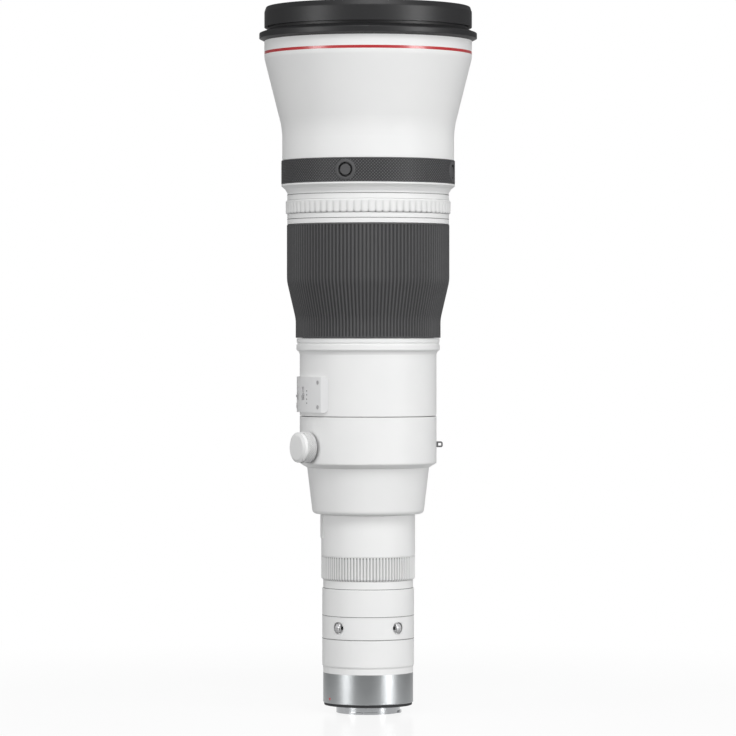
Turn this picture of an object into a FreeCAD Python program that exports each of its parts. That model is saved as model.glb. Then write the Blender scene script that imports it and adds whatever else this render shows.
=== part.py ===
# Super telephoto lens standing on its bayonet, in millimetres.
# The Z axis is the optical axis, the origin lies on the mount flange plane, and the front looks up (+Z).
# The side that faces the sky in use looks along -Y, and the tripod foot is on the +Y side.
# An azimuth is measured from -Y towards +X, in degrees.
import FreeCAD, Part
import math
import os

Vector = FreeCAD.Vector

# Clearances
seat_gap = 0.1           # radial gap between seated rings of one body
running_gap = 0.3        # gap between faces of different bodies
bearing_gap = 0.08       # radial gap of a ring on its journal
groove_width = 0.6       # visible seam lines

# Bayonet and rear mount
bayonet_bore = 22.5      # all of these are radii unless the name says otherwise
bayonet_tube = 24.6
bayonet_tab = 25.8
bayonet_depth = 6.5      # below the flange plane
tab_thickness = 1.6
tab_spans = ((-34.6, 17.4), (70.0, 128.0), (190.0, 246.0))
flange_relief = 26.3
flange_relief_depth = 0.3
flange_radius = 32.7
flange_thickness = 2.2
notch_width = 1.4
mount_screw_radius = 1.1
mount_screw_head = 2.0
mount_screw_length = 9.0
mount_screw_sink = 0.1   # its head lies this far above the flange plane
mount_screw_count = 4
contact_inner = 18.6
contact_span = 64.0      # degrees of arc
contact_drop = 5.4
contact_rise = 2.0
pin_radius = 0.7
pin_height = 0.5
pin_count = 12
gasket_radius = 33.9
gasket_drop = 0.6

# Mount sleeve and filter housing
sleeve_radius = 34.7
sleeve_foot = 1.5        # height of its lower edge above the flange plane
sleeve_top = 24.5
sleeve_bore = 27.0
sleeve_shoulder = 12.0
housing_radius = 35.4
housing_lip = 4.4
housing_top = 89.4
housing_bore = 31.0
housing_counterbore_depth = 3.4
neck_length = 6.3
rear_lens_radius = 26.6
rear_lens_edge = 5.0
rear_lens_low = 8.0

# Filter drawer
drawer_low = 51.2
drawer_high = 68.5
drawer_edge = 12.6       # distance of the drawer's end faces in front of the axis
drawer_cover_wall = 3.9
drawer_line = 0.15       # gap all round the cover
holder_radius = 27.4
holder_thickness = 6.5
filter_radius = 25.9
filter_thickness = 2.6
filter_ledge = 1.4
shelf_bore = 25.0
shelf_thickness = 2.7
catch_azimuth = 40.0
catch_window_width = 9.8
catch_window_height = 9.2
catch_window_depth = 2.5
catch_width = 5.2
catch_height = 6.6
catch_proud = 0.7
catch_stem = 2.0
catch_travel = 1.5
catch_teeth = 3
board_thickness = 1.6
chip_width = 8.0
chip_height = 1.2
chip_azimuths = (20, 110, 180, 290)

# Control ring
control_radius = 36.2
control_length = 18.4
control_teeth = 90
control_tooth_depth = 0.7

# Rear tube and rear cone
rear_tube_radius = 36.2
rear_tube_length = 31.6
rear_tube_wall = 2.3     # of the journal that carries the control ring
rear_tube_spigot = 6.0
pad_proud = 0.7
pad_length = 18.0
pad_azimuth = -90.0
pad_span = 36.0
cone_low_radius = 42.85
cone_top_radius = 47.0
cone_length = 35.9
cone_foot_rise = 0.9
cone_foot_rounding = 4.5
cone_wall = 3.65
cone_ledge = 14.0        # height of the ledge that seats the stabiliser base

# Tripod collar
journal_radius = 46.6
journal_wall = 2.4
collar_radius = 52.75
collar_length = 39.3
collar_bevel_radius = 47.3
collar_bevel_height = 3.2
foot_pad_reach = 58.0
foot_pad_width = 34.0
foot_pad_height = 30.0
foot_neck_width = 28.0
foot_reach = 105.0
foot_plate_thickness = 10.0
foot_plate_width = 44.0
foot_plate_length = 110.0
foot_plate_chamfer = 2.0
foot_corner_rounding = 6.0
foot_throat_rounding = 9.0
foot_end_rounding = 1.5
foot_centre_height = 196.0
foot_screw_spacing_x = 20.0
foot_screw_spacing_z = 18.0
foot_screw_radius = 2.0
foot_screw_head = 3.6
foot_screw_depth = 8.0
large_thread_bore = 4.0
small_thread_bore = 2.55
thread_spacing = 40.0    # from the large hole in the middle to the small one
large_thread_depth = 7.0
small_thread_depth = 6.0
thread_mouth = 0.5       # bevel at the mouth of a threaded hole

# Lock knob
knob_azimuth = -57.0
knob_height = 198.4
knob_radius = 11.75
knob_base = 53.15
knob_reach = 65.5
knob_cap_length = 3.6
knob_groove = 0.7
knob_bevel = 1.7
boss_radius = 7.0
boss_reach = 55.0
lock_screw_radius = 3.0
lock_screw_tip = 47.2

# Strap lugs
lug_height_centre = 200.0
lug_reach = 57.5
lug_height = 4.4
lug_bar = 1.1
lug_width = 9.0

# Main barrel and the rings round it
barrel_radius = 52.75
barrel_length = 47.2
barrel_seam = 0.5
tube_radius = 50.7       # inner tube that carries the rings
tube_wall = 2.5
iris_low = 3.0           # above the lower end of the main barrel
iris_thickness = 10.0
iris_bore = 22.0
end_ring_radius = 55.1
end_ring_length = 12.4
end_ring_groove = 1.4
end_ring_groove_height = 7.6

# Switch panel
panel_azimuth = -75.0
panel_span = 80.0
panel_bevel_span = 6.0
panel_thickness = 2.3
panel_low = 225.0
panel_height = 27.2
panel_screw_radius = 1.5
panel_screw_sink = 0.9
panel_screw_azimuths = (-30.5, -7.5, 30.5)   # measured from the middle of the panel
panel_screw_spacing = 18.8
slot_width = 4.4
slot_height = 10.0
slot_floor = 0.7         # thickness of the panel left under a slot
knob_width = 3.6
knob_tall = 4.6
knob_proud = 0.6
slot_middle = 14.6       # height of a slot's middle above the panel's lower edge
focus_switch_azimuth = 10.0
range_switch_azimuth = -4.0
stabiliser_switch_azimuth = -18.0
preset_azimuth = -18.0
preset_height = 4.8
preset_radius = 2.3
preset_proud = 0.35
preset_depth = 1.0

# Focus ring
grip_low_radius = 55.9
grip_high_radius = 62.7
grip_length = 87.1
grip_low_corner = 14.5   # heights above the grip's lower edge
grip_high_corner = 43.8
grip_rounding = 30.0
grip_thickness = 1.6
focus_sleeve_wall = 2.4
focus_bearing_length = 6.0
focus_journal_length = 7.4

# Playback ring and the collar above it
neck_radius = 62.4
tube_neck_length = 7.8
playback_radius = 63.6
playback_length = 10.4
playback_journal = 60.6
playback_lobes = 72
playback_lobe_depth = 1.0
tube_top_spigot = 10.0
tube_top_wall = 3.0
band_collar_length = 12.3
band_collar_lip = 1.3
band_collar_spigot = 61.9
band_collar_bore = 58.5

# Button band
band_radius = 67.0
band_length = 18.5
button_azimuths = (-15.0, 75.0, 165.0, 255.0)
button_radius = 4.2
button_well = 5.6
bezel_radius = 7.0
bezel_proud = 0.5
button_base = 5.3
button_base_thickness = 1.2
button_sink = 0.2        # its cap lies this far under the band's surface
button_travel = 1.0

# Front barrel
front_low_radius = 66.3
front_radius = 80.1
front_length = 92.1
front_low_corner = 24.2  # height above the barrel's lower edge
front_high_corner = front_length - 13.1
front_low_rounding = 60.0
front_high_rounding = 40.0
front_wall = 2.7
front_foot = 3.2
cell_seat_height = front_length - 12.6
cell_seat_inner = front_radius - 5.5
red_height = front_length - 9.9
red_width = 1.5
red_depth = 0.45

# Black front parts
flange_low_chamfer = 1.9
front_flange_radius = front_radius + 3.9
front_flange_edge = 4.1
front_flange_length = 8.5
front_flange_bore = front_radius - 4.5
hood_groove_radius = front_radius - 2.6
hood_groove_length = 1.9
hood_seat_length = 15.8
hood_corner_height = 4.0
hood_corner_width = 1.4
hood_bore = front_radius - 3.7
hood_mouth_depth = 3.0
hood_steps = 5           # light-trap steps inside the seat
hood_step_depth = 0.6

# Front optics
front_lens_radius = front_radius - 3.9
front_cell_lip = 1.5
front_cell_length = 6.7
front_lens_curve = 480.0
front_lens_hollow = 900.0
retainer_length = 3.0
retainer_inner = front_radius - 5.8
lens_margin = 0.35        # room for a lens face under its ring or over its lip
group_cell_length = 18.0
group_cell_wall = 3.4
group_lens_edge = 6.5
group_lens_curve = 210.0

# Focus drive
stator_low = 34.0        # above the lower end of the main barrel
stator_height = 8.0
guide_outer = 41.0
guide_wall = 1.8
guide_length = 62.0
rotor_bore = 41.3
rotor_radius = 47.6
rotor_height = 7.5
cam_wall = 1.8
cam_top_margin = 4.0
focus_cell_length = 14.0
focus_cell_low = 20.0    # above the stator's lower face
focus_lens_radius = 34.1
focus_lens_curve = 120.0
follower_radius = 1.9
follower_count = 3
slot_clearance = 0.3
focus_travel = 30.0
focus_turn = 120.0

# Relay and stabiliser
relay_wall = 3.2
relay_low = 4.0          # above the rear tube's visible lower end
relay_length = 24.0
relay_lens_edge = 4.5
relay_lens_curve = 60.0
relay_lens_count = 3
stabiliser_base_thickness = 3.5
stabiliser_bore = 27.0
guide_plate_radius = 36.0
guide_plate_thickness = 2.5
stabiliser_cell_radius = 33.0
stabiliser_cell_height = 6.4
stabiliser_lens_radius = 24.8
stabiliser_lens_edge = 3.6

# Heights worked out from the lengths above
neck_top = housing_top + neck_length
control_low = neck_top + running_gap / 2
control_high = control_low + control_length
rear_tube_low = control_high + running_gap
rear_tube_high = rear_tube_low + rear_tube_length
cone_top = rear_tube_high + cone_length
collar_low = cone_top + running_gap
collar_high = collar_low + collar_length
barrel_low = collar_high + barrel_seam
barrel_high = barrel_low + barrel_length
end_ring_top = barrel_high + end_ring_length
grip_low = end_ring_top + running_gap
grip_high = grip_low + grip_length
neck_low = grip_high + running_gap
playback_low = neck_low + tube_neck_length + running_gap / 2
playback_high = playback_low + playback_length
band_collar_low = playback_high + running_gap / 2
band_low = band_collar_low + band_collar_length
band_high = band_low + band_length
front_low = band_high
front_high = front_low + front_length
flange_high = front_high + front_flange_length
front_end = flange_high + hood_groove_length + hood_seat_length
tube_low = barrel_low + iris_low + iris_thickness
journal_bore = journal_radius - journal_wall
barrel_bore = tube_radius + seat_gap
tube_bore = tube_radius - tube_wall
drawer_middle = (drawer_low + drawer_high) / 2


def outline(corners):
    """Closed face in the XZ plane through corners (radius, height, rounding); roundings are tangent arcs."""
    points = [Vector(corner[0], 0, corner[1]) for corner in corners]
    roundings = [corner[2] if len(corner) > 2 else 0 for corner in corners]
    starts = []
    ends = []
    arcs = []
    for index, point in enumerate(points):
        before = points[index - 1] - point
        after = points[(index + 1) % len(points)] - point
        if roundings[index] == 0:
            starts.append(point)
            ends.append(point)
            arcs.append(None)
            continue
        half = before.getAngle(after) / 2
        room = 0.45 * min(before.Length, after.Length)
        along = min(roundings[index] / math.tan(half), room)
        radius = along * math.tan(half)
        before.normalize()
        after.normalize()
        middle = before + after
        middle.normalize()
        starts.append(point + before * along)
        ends.append(point + after * along)
        bulge = point + middle * (radius / math.sin(half) - radius)
        arcs.append(Part.Arc(starts[-1], bulge, ends[-1]).toShape())
    edges = []
    for index, arc in enumerate(arcs):
        if arc is not None:
            edges.append(arc)
        following = starts[(index + 1) % len(points)]
        if ends[index].distanceToPoint(following) > 1e-6:
            edges.append(Part.LineSegment(ends[index], following).toShape())
    return Part.Face(Part.Wire(edges))


def turned_body(corners):
    """Solid of revolution about the optical axis."""
    return outline(corners).revolve(Vector(0, 0, 0), Vector(0, 0, 1), 360)


def tube(outer, inner, low, high):
    return turned_body([(inner, low), (outer, low), (outer, high), (inner, high)])


def disc(radius, low, high):
    return Part.makeCylinder(radius, high - low, Vector(0, 0, low))


def at_azimuth(shape, azimuth):
    """Copy of a shape built on the -Y side, turned about the axis to an azimuth."""
    turned = shape.copy()
    turned.rotate(Vector(0, 0, 0), Vector(0, 0, 1), azimuth)
    return turned


def radial_rod(radius, inner, outer, height):
    """Cylinder on the -Y side that points away from the axis."""
    return Part.makeCylinder(radius, outer - inner, Vector(0, -inner, height), Vector(0, -1, 0))


def radial_block(width, inner, outer, low, high):
    """Box on the -Y side from one distance to another."""
    return Part.makeBox(width, outer - inner, high - low, Vector(-width / 2, -outer, low))


def sector(outer, inner, low, high, start, end):
    """Part of a tube between two azimuths."""
    face = Part.Face(Part.makePolygon([
        Vector(inner, 0, low),
        Vector(outer, 0, low),
        Vector(outer, 0, high),
        Vector(inner, 0, high),
        Vector(inner, 0, low),
    ]))
    piece = face.revolve(Vector(0, 0, 0), Vector(0, 0, 1), end - start)
    piece.rotate(Vector(0, 0, 0), Vector(0, 0, 1), start - 90)
    return piece


def toothed_prism(tip, root, count, land, low, high):
    """Prism of equal teeth; land is the part of each pitch that stays at the tip radius."""
    pitch = 2 * math.pi / count
    points = []
    for index in range(count):
        middle = index * pitch
        for radius, shift in ((tip, -land / 2), (tip, land / 2), (root, 0.5)):
            angle = middle + shift * pitch
            points.append(Vector(radius * math.cos(angle), radius * math.sin(angle), low))
    points.append(points[0])
    return Part.Face(Part.makePolygon(points)).extrude(Vector(0, 0, high - low))


def sag(curve, radius):
    return curve - math.sqrt(curve * curve - radius * radius)


def lens(radius, low, high, top_curve, bottom_curve):
    """Round lens with an edge from low to high; a negative curve is hollow, on either face."""
    top_sag = math.copysign(sag(abs(top_curve), radius), top_curve)
    bottom_sag = math.copysign(sag(abs(bottom_curve), radius), bottom_curve)
    half = radius / 2
    top_middle = top_sag - math.copysign(sag(abs(top_curve), half), top_curve)
    bottom_middle = bottom_sag - math.copysign(sag(abs(bottom_curve), half), bottom_curve)
    centre_low = Vector(0, 0, low - bottom_sag)
    edge_low = Vector(radius, 0, low)
    edge_high = Vector(radius, 0, high)
    centre_high = Vector(0, 0, high + top_sag)
    edges = [
        Part.Arc(centre_low, Vector(half, 0, low - bottom_middle), edge_low).toShape(),
        Part.LineSegment(edge_low, edge_high).toShape(),
        Part.Arc(edge_high, Vector(half, 0, high + top_middle), centre_high).toShape(),
        Part.LineSegment(centre_high, centre_low).toShape(),
    ]
    return Part.Face(Part.Wire(edges)).revolve(Vector(0, 0, 0), Vector(0, 0, 1), 360)


def mount_screw_places():
    middle = (flange_relief + flange_radius) / 2
    return [(middle, 45 + 360 / mount_screw_count * index) for index in range(mount_screw_count)]


def mount_screws():
    """Flat-head screws that hold the bayonet in the sleeve, their heads a little under the flange plane."""
    screws = []
    for radius, azimuth in mount_screw_places():
        foot = Vector(0, -radius, mount_screw_sink)
        head = Part.makeCone(mount_screw_head, mount_screw_radius, flange_thickness / 2, foot)
        shank = Part.makeCylinder(mount_screw_radius, mount_screw_length, foot)
        drive = Part.makeCylinder(mount_screw_radius / 2, mount_screw_sink + 0.4, Vector(0, -radius, 0))
        screws.append(at_azimuth(head.fuse(shank).cut(drive).removeSplitter(), azimuth))
    return Part.makeCompound(screws)


def mount_screw_holes():
    holes = []
    for radius, azimuth in mount_screw_places():
        gap = seat_gap / 2
        foot = Vector(0, -radius, 0)
        mouth = mount_screw_head + gap + mount_screw_sink
        depth = flange_thickness / 2 + mount_screw_sink
        head = Part.makeCone(mouth, mount_screw_radius + gap, depth, foot)
        shank = Part.makeCylinder(mount_screw_radius + gap, mount_screw_length + 4 * mount_screw_sink, foot)
        holes.append(at_azimuth(head.fuse(shank), azimuth))
    return Part.makeCompound(holes)


def bayonet():
    """Metal mount: flange with a flat seat, short tube and three tabs."""
    body = turned_body([
        (bayonet_bore, -bayonet_depth),
        (bayonet_tube, -bayonet_depth),
        (bayonet_tube, flange_relief_depth),
        (flange_relief, flange_relief_depth),
        (flange_relief, 0),
        (flange_radius, 0),
        (flange_radius, flange_thickness),
        (bayonet_bore, flange_thickness),
    ])
    root = (bayonet_tube + bayonet_bore) / 2
    tab_low = -bayonet_depth
    tab_high = tab_low + tab_thickness
    for start, end in tab_spans:
        body = body.fuse(sector(bayonet_tab, root, tab_low, tab_high, start, end))
    middle = (tab_spans[0][0] + tab_spans[0][1]) / 2
    notch = radial_block(notch_width, bayonet_tube, bayonet_tab + 1, tab_low - 1, tab_high + 1)
    body = body.cut(at_azimuth(notch, middle))
    return body.cut(mount_screw_holes()).removeSplitter()


def contact_block():
    half = contact_span / 2
    outer = bayonet_bore - seat_gap / 2
    return sector(outer, contact_inner, -contact_drop, contact_rise, 180 - half, 180 + half)


def contact_pins():
    middle = (contact_inner + bayonet_bore) / 2
    pins = []
    for index in range(pin_count):
        azimuth = 180 + contact_span * ((index + 0.5) / pin_count - 0.5)
        pin = Part.makeCylinder(pin_radius, pin_height, Vector(0, -middle, -contact_drop - pin_height))
        pins.append(at_azimuth(pin, azimuth))
    return Part.makeCompound(pins)


def mount_gasket():
    inner = flange_radius + seat_gap
    return turned_body([
        (inner, -gasket_drop),
        (gasket_radius, -gasket_drop, 0.4),
        (gasket_radius, sleeve_foot),
        (inner, sleeve_foot),
    ])


def mount_sleeve():
    """Silver sleeve; the bayonet's flange sits in its recess and screws into its shoulder."""
    recess = flange_radius + seat_gap
    body = turned_body([
        (recess, sleeve_foot),
        (sleeve_radius, sleeve_foot, 0.5),
        (sleeve_radius, sleeve_top),
        (housing_bore, sleeve_top),
        (housing_bore, sleeve_shoulder + flange_thickness),
        (sleeve_bore, sleeve_shoulder + flange_thickness),
        (sleeve_bore, flange_thickness),
        (recess, flange_thickness),
    ])
    return body.cut(mount_screw_holes())


def rear_lens():
    """Rear element with its black rim, seated in the sleeve."""
    radius = sleeve_bore - seat_gap
    glass = lens(rear_lens_radius, rear_lens_low, rear_lens_low + rear_lens_edge, 70.0, 90.0)
    rim = tube(radius, rear_lens_radius - 1.0, rear_lens_low, rear_lens_low + rear_lens_edge)
    return glass.fuse(rim).removeSplitter()


def drawer_slot(margin):
    """Room for the drawer's cover: in front of the end faces, between two heights."""
    reach = housing_radius + 5
    return Part.makeBox(
        2 * reach,
        reach - drawer_edge + margin,
        drawer_high - drawer_low + 2 * margin,
        Vector(-reach, -reach, drawer_low - margin),
    )


def filter_housing():
    """White housing of the drop-in filter, with two shelves that guide the drawer."""
    body = turned_body([
        (housing_bore, sleeve_top),
        (sleeve_radius, sleeve_top),
        (sleeve_radius, sleeve_top + housing_lip),
        (housing_radius, sleeve_top + housing_lip + 1.5, 1.5),
        (housing_radius, housing_top, 0.6),
        (sleeve_radius, housing_top, 0),
        (sleeve_radius, neck_top, 0.3),
        (rear_spigot_outer() + seat_gap, neck_top),
        (rear_spigot_outer() + seat_gap, housing_top - housing_counterbore_depth),
        (housing_bore, housing_top - housing_counterbore_depth),
    ])
    body = body.cut(drawer_slot(0))
    for low in shelf_heights():
        shelf = tube(housing_bore + 0.5, shelf_bore, low, low + shelf_thickness)
        shelf = shelf.cut(drawer_slot(0)).fuse(tube(housing_bore, shelf_bore, low, low + shelf_thickness))
        body = body.fuse(shelf)
    return body.removeSplitter()


def shelf_heights():
    half = holder_thickness / 2 + running_gap
    return (drawer_middle - half - shelf_thickness, drawer_middle + half)


def rear_spigot_outer():
    """Radius of the journal under the control ring."""
    return control_radius - rear_tube_wall


def cover_inner():
    return housing_radius - drawer_cover_wall


def filter_drawer():
    """Curved cover flush with the housing, joined by a web to the round filter holder."""
    cover = tube(housing_radius, cover_inner(), drawer_low + drawer_line, drawer_high - drawer_line)
    cover = cover.common(drawer_slot(-drawer_line))
    low = drawer_middle - holder_thickness / 2
    high = drawer_middle + holder_thickness / 2
    web_reach = cover_inner() + 1.0
    web = radial_block(2 * holder_radius, 0, web_reach, low, high).common(disc(web_reach, low, high))
    holder = disc(holder_radius, low, high).fuse(web)
    holder = holder.cut(disc(filter_radius + seat_gap, low + filter_ledge, high + 1))
    holder = holder.cut(disc(filter_radius - filter_ledge, low - 1, high))
    body = cover.fuse(holder)
    for azimuth in (-catch_azimuth, catch_azimuth):
        body = body.cut(at_azimuth(catch_window(), azimuth))
    return body.removeSplitter()


def catch_floor():
    return housing_radius - catch_window_depth


def catch_window():
    """Recess of a release catch and the slot through its floor."""
    half = catch_window_height / 2
    low = drawer_middle - half
    outside = housing_radius + 5
    window = radial_block(catch_window_width, catch_floor(), outside, low, low + catch_window_height)
    stem_half = catch_stem / 2 + running_gap
    width = 2 * (stem_half + catch_travel)
    stem_low = drawer_middle - stem_half
    slot = radial_block(width, housing_bore - 6, catch_floor() + 1, stem_low, stem_low + 2 * stem_half)
    return window.fuse(slot)


def release_catch(side):
    """Metal catch with teeth, on a stem; it slides towards the other catch and carries a small latch bar."""
    low = drawer_middle - catch_height / 2
    high = drawer_middle + catch_height / 2
    top = housing_radius + catch_proud
    base = catch_floor() + running_gap
    lug = radial_block(catch_width, base, top, low, high)
    pitch = catch_width / catch_teeth
    for index in range(catch_teeth - 1):
        groove = radial_block(pitch / 3, top - catch_proud, top + 1, low - 1, high + 1)
        groove.translate(Vector(pitch * (index + 1) - catch_width / 2, 0, 0))
        lug = lug.cut(groove)
    stem_low = drawer_middle - catch_stem / 2
    stem = radial_block(catch_stem, housing_bore - 1.0, base + 1, stem_low, stem_low + catch_stem)
    catch = lug.fuse(stem).removeSplitter()
    catch.translate(Vector(side * catch_travel / 2, 0, 0))
    return at_azimuth(catch, side * catch_azimuth)


def filter_glass():
    low = drawer_middle - holder_thickness / 2 + filter_ledge
    return turned_body([
        (0, low),
        (filter_radius, low),
        (filter_radius, low + filter_thickness, 0.4),
        (0, low + filter_thickness),
    ])


def circuit_board():
    low = shelf_heights()[1] + shelf_thickness
    top = low + board_thickness
    board = tube(housing_bore - seat_gap, shelf_bore - 2, low, top)
    chip = radial_block(chip_width, shelf_bore - 0.5, shelf_bore + 4, top, top + chip_height)
    chips = [at_azimuth(chip, azimuth) for azimuth in chip_azimuths]
    return board.multiFuse(chips)


def control_ring():
    """Ring with fine teeth that turns on the rear tube's journal."""
    bore = rear_spigot_outer() + bearing_gap
    blank = turned_body([
        (bore, control_low),
        (sleeve_radius, control_low),
        (control_radius, control_low + 1.4, 0.8),
        (control_radius, control_high - 0.5),
        (control_radius - 0.5, control_high),
        (bore, control_high),
    ])
    root = control_radius - control_tooth_depth
    teeth = toothed_prism(control_radius, root, control_teeth, 0.5, control_low - 1, control_high + 1)
    plain = tube(root + 0.4, bore, control_high - 1.6, control_high)
    return blank.common(teeth).fuse(plain).removeSplitter()


def rear_tube():
    """White tube: journal below, visible part with its low pad, spigot into the cone above."""
    journal = rear_spigot_outer()
    spigot = rear_tube_radius - rear_tube_wall / 2
    bore = journal - rear_tube_wall
    body = turned_body([
        (bore, housing_top - housing_counterbore_depth),
        (journal, housing_top - housing_counterbore_depth),
        (journal, rear_tube_low),
        (rear_tube_radius, rear_tube_low, 0.4),
        (rear_tube_radius, rear_tube_high),
        (spigot, rear_tube_high),
        (spigot, rear_tube_high + rear_tube_spigot),
        (bore, rear_tube_high + rear_tube_spigot),
    ])
    half = pad_span / 2
    pad = sector(
        rear_tube_radius + pad_proud, journal, rear_tube_high - pad_length, rear_tube_high,
        pad_azimuth - half, pad_azimuth + half)
    return body.fuse(pad).removeSplitter()


def rear_cone():
    """Conical white shell between the rear tube and the tripod collar, with a ledge for the stabiliser."""
    spigot = rear_tube_radius - rear_tube_wall / 2 + seat_gap
    ledge = cone_low_radius - cone_wall
    return turned_body([
        (spigot, rear_tube_high),
        (rear_tube_radius + 1.0, rear_tube_high),
        (cone_low_radius, rear_tube_high + cone_foot_rise, cone_foot_rounding),
        (cone_top_radius, cone_top),
        (cone_bore(), cone_top),
        (cone_bore(), rear_tube_high + cone_ledge),
        (ledge - 1.6, rear_tube_high + cone_ledge),
        (ledge - 1.6, rear_tube_high + rear_tube_spigot + 0.1),
        (spigot, rear_tube_high + rear_tube_spigot + 0.1),
    ])


def cone_bore():
    """Inside radius of the cone above its ledge."""
    return cone_low_radius - cone_wall + 0.8


def relay_cell():
    outer = rear_spigot_outer() - rear_tube_wall - seat_gap
    low = rear_tube_low + relay_low
    bore = outer - relay_wall
    return turned_body([
        (bore, low),
        (outer, low),
        (outer, low + relay_length),
        (bore + 0.8, low + relay_length),
        (bore + 0.8, low + 2.0),
        (bore, low + 2.0),
    ])


def relay_lenses():
    radius = rear_spigot_outer() - rear_tube_wall - seat_gap - relay_wall + 0.8 - seat_gap
    low = rear_tube_low + relay_low + 2.0
    pitch = (relay_length - 2.0) / relay_lens_count
    glasses = []
    for index in range(relay_lens_count):
        edge = low + pitch * index
        spacer_high = edge + pitch
        glass = lens(radius, edge, edge + relay_lens_edge, relay_lens_curve * 2, -relay_lens_curve * 4)
        spacer = tube(radius, radius - 1.2, edge + relay_lens_edge, spacer_high)
        glasses.append(glass.fuse(spacer).removeSplitter() if index < relay_lens_count - 1 else glass)
    return Part.makeCompound(glasses)


def stabiliser_low():
    return rear_tube_high + cone_ledge


def stabiliser_base():
    low = stabiliser_low()
    return tube(cone_bore() - seat_gap, stabiliser_bore + 3, low, low + stabiliser_base_thickness)


def stabiliser_guide():
    low = stabiliser_low() + stabiliser_base_thickness + running_gap
    return tube(guide_plate_radius, stabiliser_bore, low, low + guide_plate_thickness)


def stabiliser_cell_low():
    return stabiliser_low() + stabiliser_base_thickness + guide_plate_thickness + 2 * running_gap


def stabiliser_cell():
    """Ring with the magnets' lugs that carries the stabiliser lens."""
    low = stabiliser_cell_low()
    high = low + stabiliser_cell_height
    inner = stabiliser_lens_radius + seat_gap
    body = turned_body([
        (inner - 1.5, low),
        (stabiliser_cell_radius, low),
        (stabiliser_cell_radius, low + 2.5),
        (inner + 2.5, low + 2.5),
        (inner + 2.5, high),
        (inner, high),
        (inner, low + 1.2),
        (inner - 1.5, low + 1.2),
    ])
    lug = radial_block(12.0, stabiliser_lens_radius + 3, guide_plate_radius, low, low + 2.0)
    lugs = [at_azimuth(lug, azimuth) for azimuth in (0, 90)]
    return body.multiFuse(lugs).removeSplitter()


def stabiliser_lens():
    low = stabiliser_cell_low() + 1.2
    return lens(stabiliser_lens_radius, low, low + stabiliser_lens_edge, 150.0, -300.0)


def collar_ring():
    """Rotating tripod collar with the foot's pad, the lock knob's boss and the seats of the strap lugs."""
    bore = journal_radius + bearing_gap
    body = turned_body([
        (bore, collar_low),
        (collar_bevel_radius, collar_low, 0.4),
        (collar_radius, collar_low + collar_bevel_height, 1.6),
        (collar_radius, collar_high, 0.4),
        (bore, collar_high),
    ])
    pad_low = foot_centre_height + foot_pad_lift() - foot_pad_height / 2
    pad = Part.makeBox(
        foot_pad_width, foot_pad_reach - journal_radius, foot_pad_height,
        Vector(-foot_pad_width / 2, journal_radius, pad_low))
    pad = pad.cut(disc(bore + 1, pad_low - 1, pad_low + foot_pad_height + 1))
    boss = radial_rod(boss_radius, journal_radius + 3, boss_reach, knob_height)
    body = body.fuse(pad).fuse(at_azimuth(boss, knob_azimuth))
    screw_hole = radial_rod(lock_screw_radius + bearing_gap, journal_radius - 1, boss_reach + 1, knob_height)
    body = body.cut(at_azimuth(screw_hole, knob_azimuth))
    for x, z in foot_screw_places():
        body = body.cut(foot_screw_hole(x, z, foot_pad_reach - foot_screw_depth - 0.2))
    return body.removeSplitter()


def foot_pad_lift():
    """Height of the collar's middle above the middle of the foot's plate."""
    return (collar_low + collar_bevel_height + collar_high) / 2 - foot_centre_height


def foot_screw_places():
    middle = foot_centre_height + foot_pad_lift()
    places = []
    for side in (-1, 1):
        for level in (-1, 1):
            places.append((side * foot_screw_spacing_x / 2, middle + level * foot_screw_spacing_z / 2))
    return places


def foot_rod(radius, inner, outer, x, z):
    """Cylinder along +Y, from one distance behind the axis to another."""
    return Part.makeCylinder(radius, outer - inner, Vector(x, inner, z), Vector(0, 1, 0))


def foot_screw_hole(x, z, inner):
    return foot_rod(foot_screw_radius + seat_gap / 2, inner, foot_reach, x, z)


def tripod_foot():
    """Foot: neck on the collar's pad, and a long plate with two threaded holes beyond the finger gap."""
    neck_middle = foot_centre_height + foot_pad_lift()
    plate_inner = foot_reach - foot_plate_thickness
    low = foot_centre_height - foot_plate_length / 2
    high = foot_centre_height + foot_plate_length / 2
    neck_low = neck_middle - foot_pad_height / 2
    neck_high = neck_middle + foot_pad_height / 2
    waist = foot_reach - foot_plate_thickness
    profile = outline([
        (foot_pad_reach, neck_low, 0.8),
        (plate_inner, neck_low, foot_throat_rounding),
        (waist, low, foot_end_rounding),
        (foot_reach, low, foot_end_rounding),
        (foot_reach, high, foot_end_rounding),
        (waist, high, foot_end_rounding),
        (plate_inner, neck_high, foot_throat_rounding),
        (foot_pad_reach, neck_high, 0.8),
    ])
    rib = profile.extrude(Vector(0, -foot_neck_width, 0))
    rib.rotate(Vector(0, 0, 0), Vector(0, 0, 1), 90)
    rib.translate(Vector(-foot_neck_width / 2, 0, 0))
    corner = Vector(-foot_plate_width / 2, plate_inner, low)
    plate = Part.makeBox(foot_plate_width, foot_plate_thickness, foot_plate_length, corner)
    depthwise = [edge for edge in plate.Edges if edge.BoundBox.YLength > 1]
    plate = plate.makeFillet(foot_corner_rounding, depthwise)
    plate = plate.makeChamfer(foot_plate_chamfer, [edge for edge in plate.Edges if is_outer_upright(edge)])
    body = rib.fuse(plate)
    for x, z in foot_screw_places():
        head_seat = foot_pad_reach + foot_screw_grip()
        body = body.cut(foot_rod(foot_screw_head + seat_gap, head_seat, foot_reach + 1, x, z))
        body = body.cut(foot_screw_hole(x, z, foot_pad_reach - 1))
    body = body.cut(threaded_hole(large_thread_bore, large_thread_depth, foot_centre_height))
    body = body.cut(threaded_hole(small_thread_bore, small_thread_depth, foot_centre_height - thread_spacing))
    return body.removeSplitter()


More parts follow.
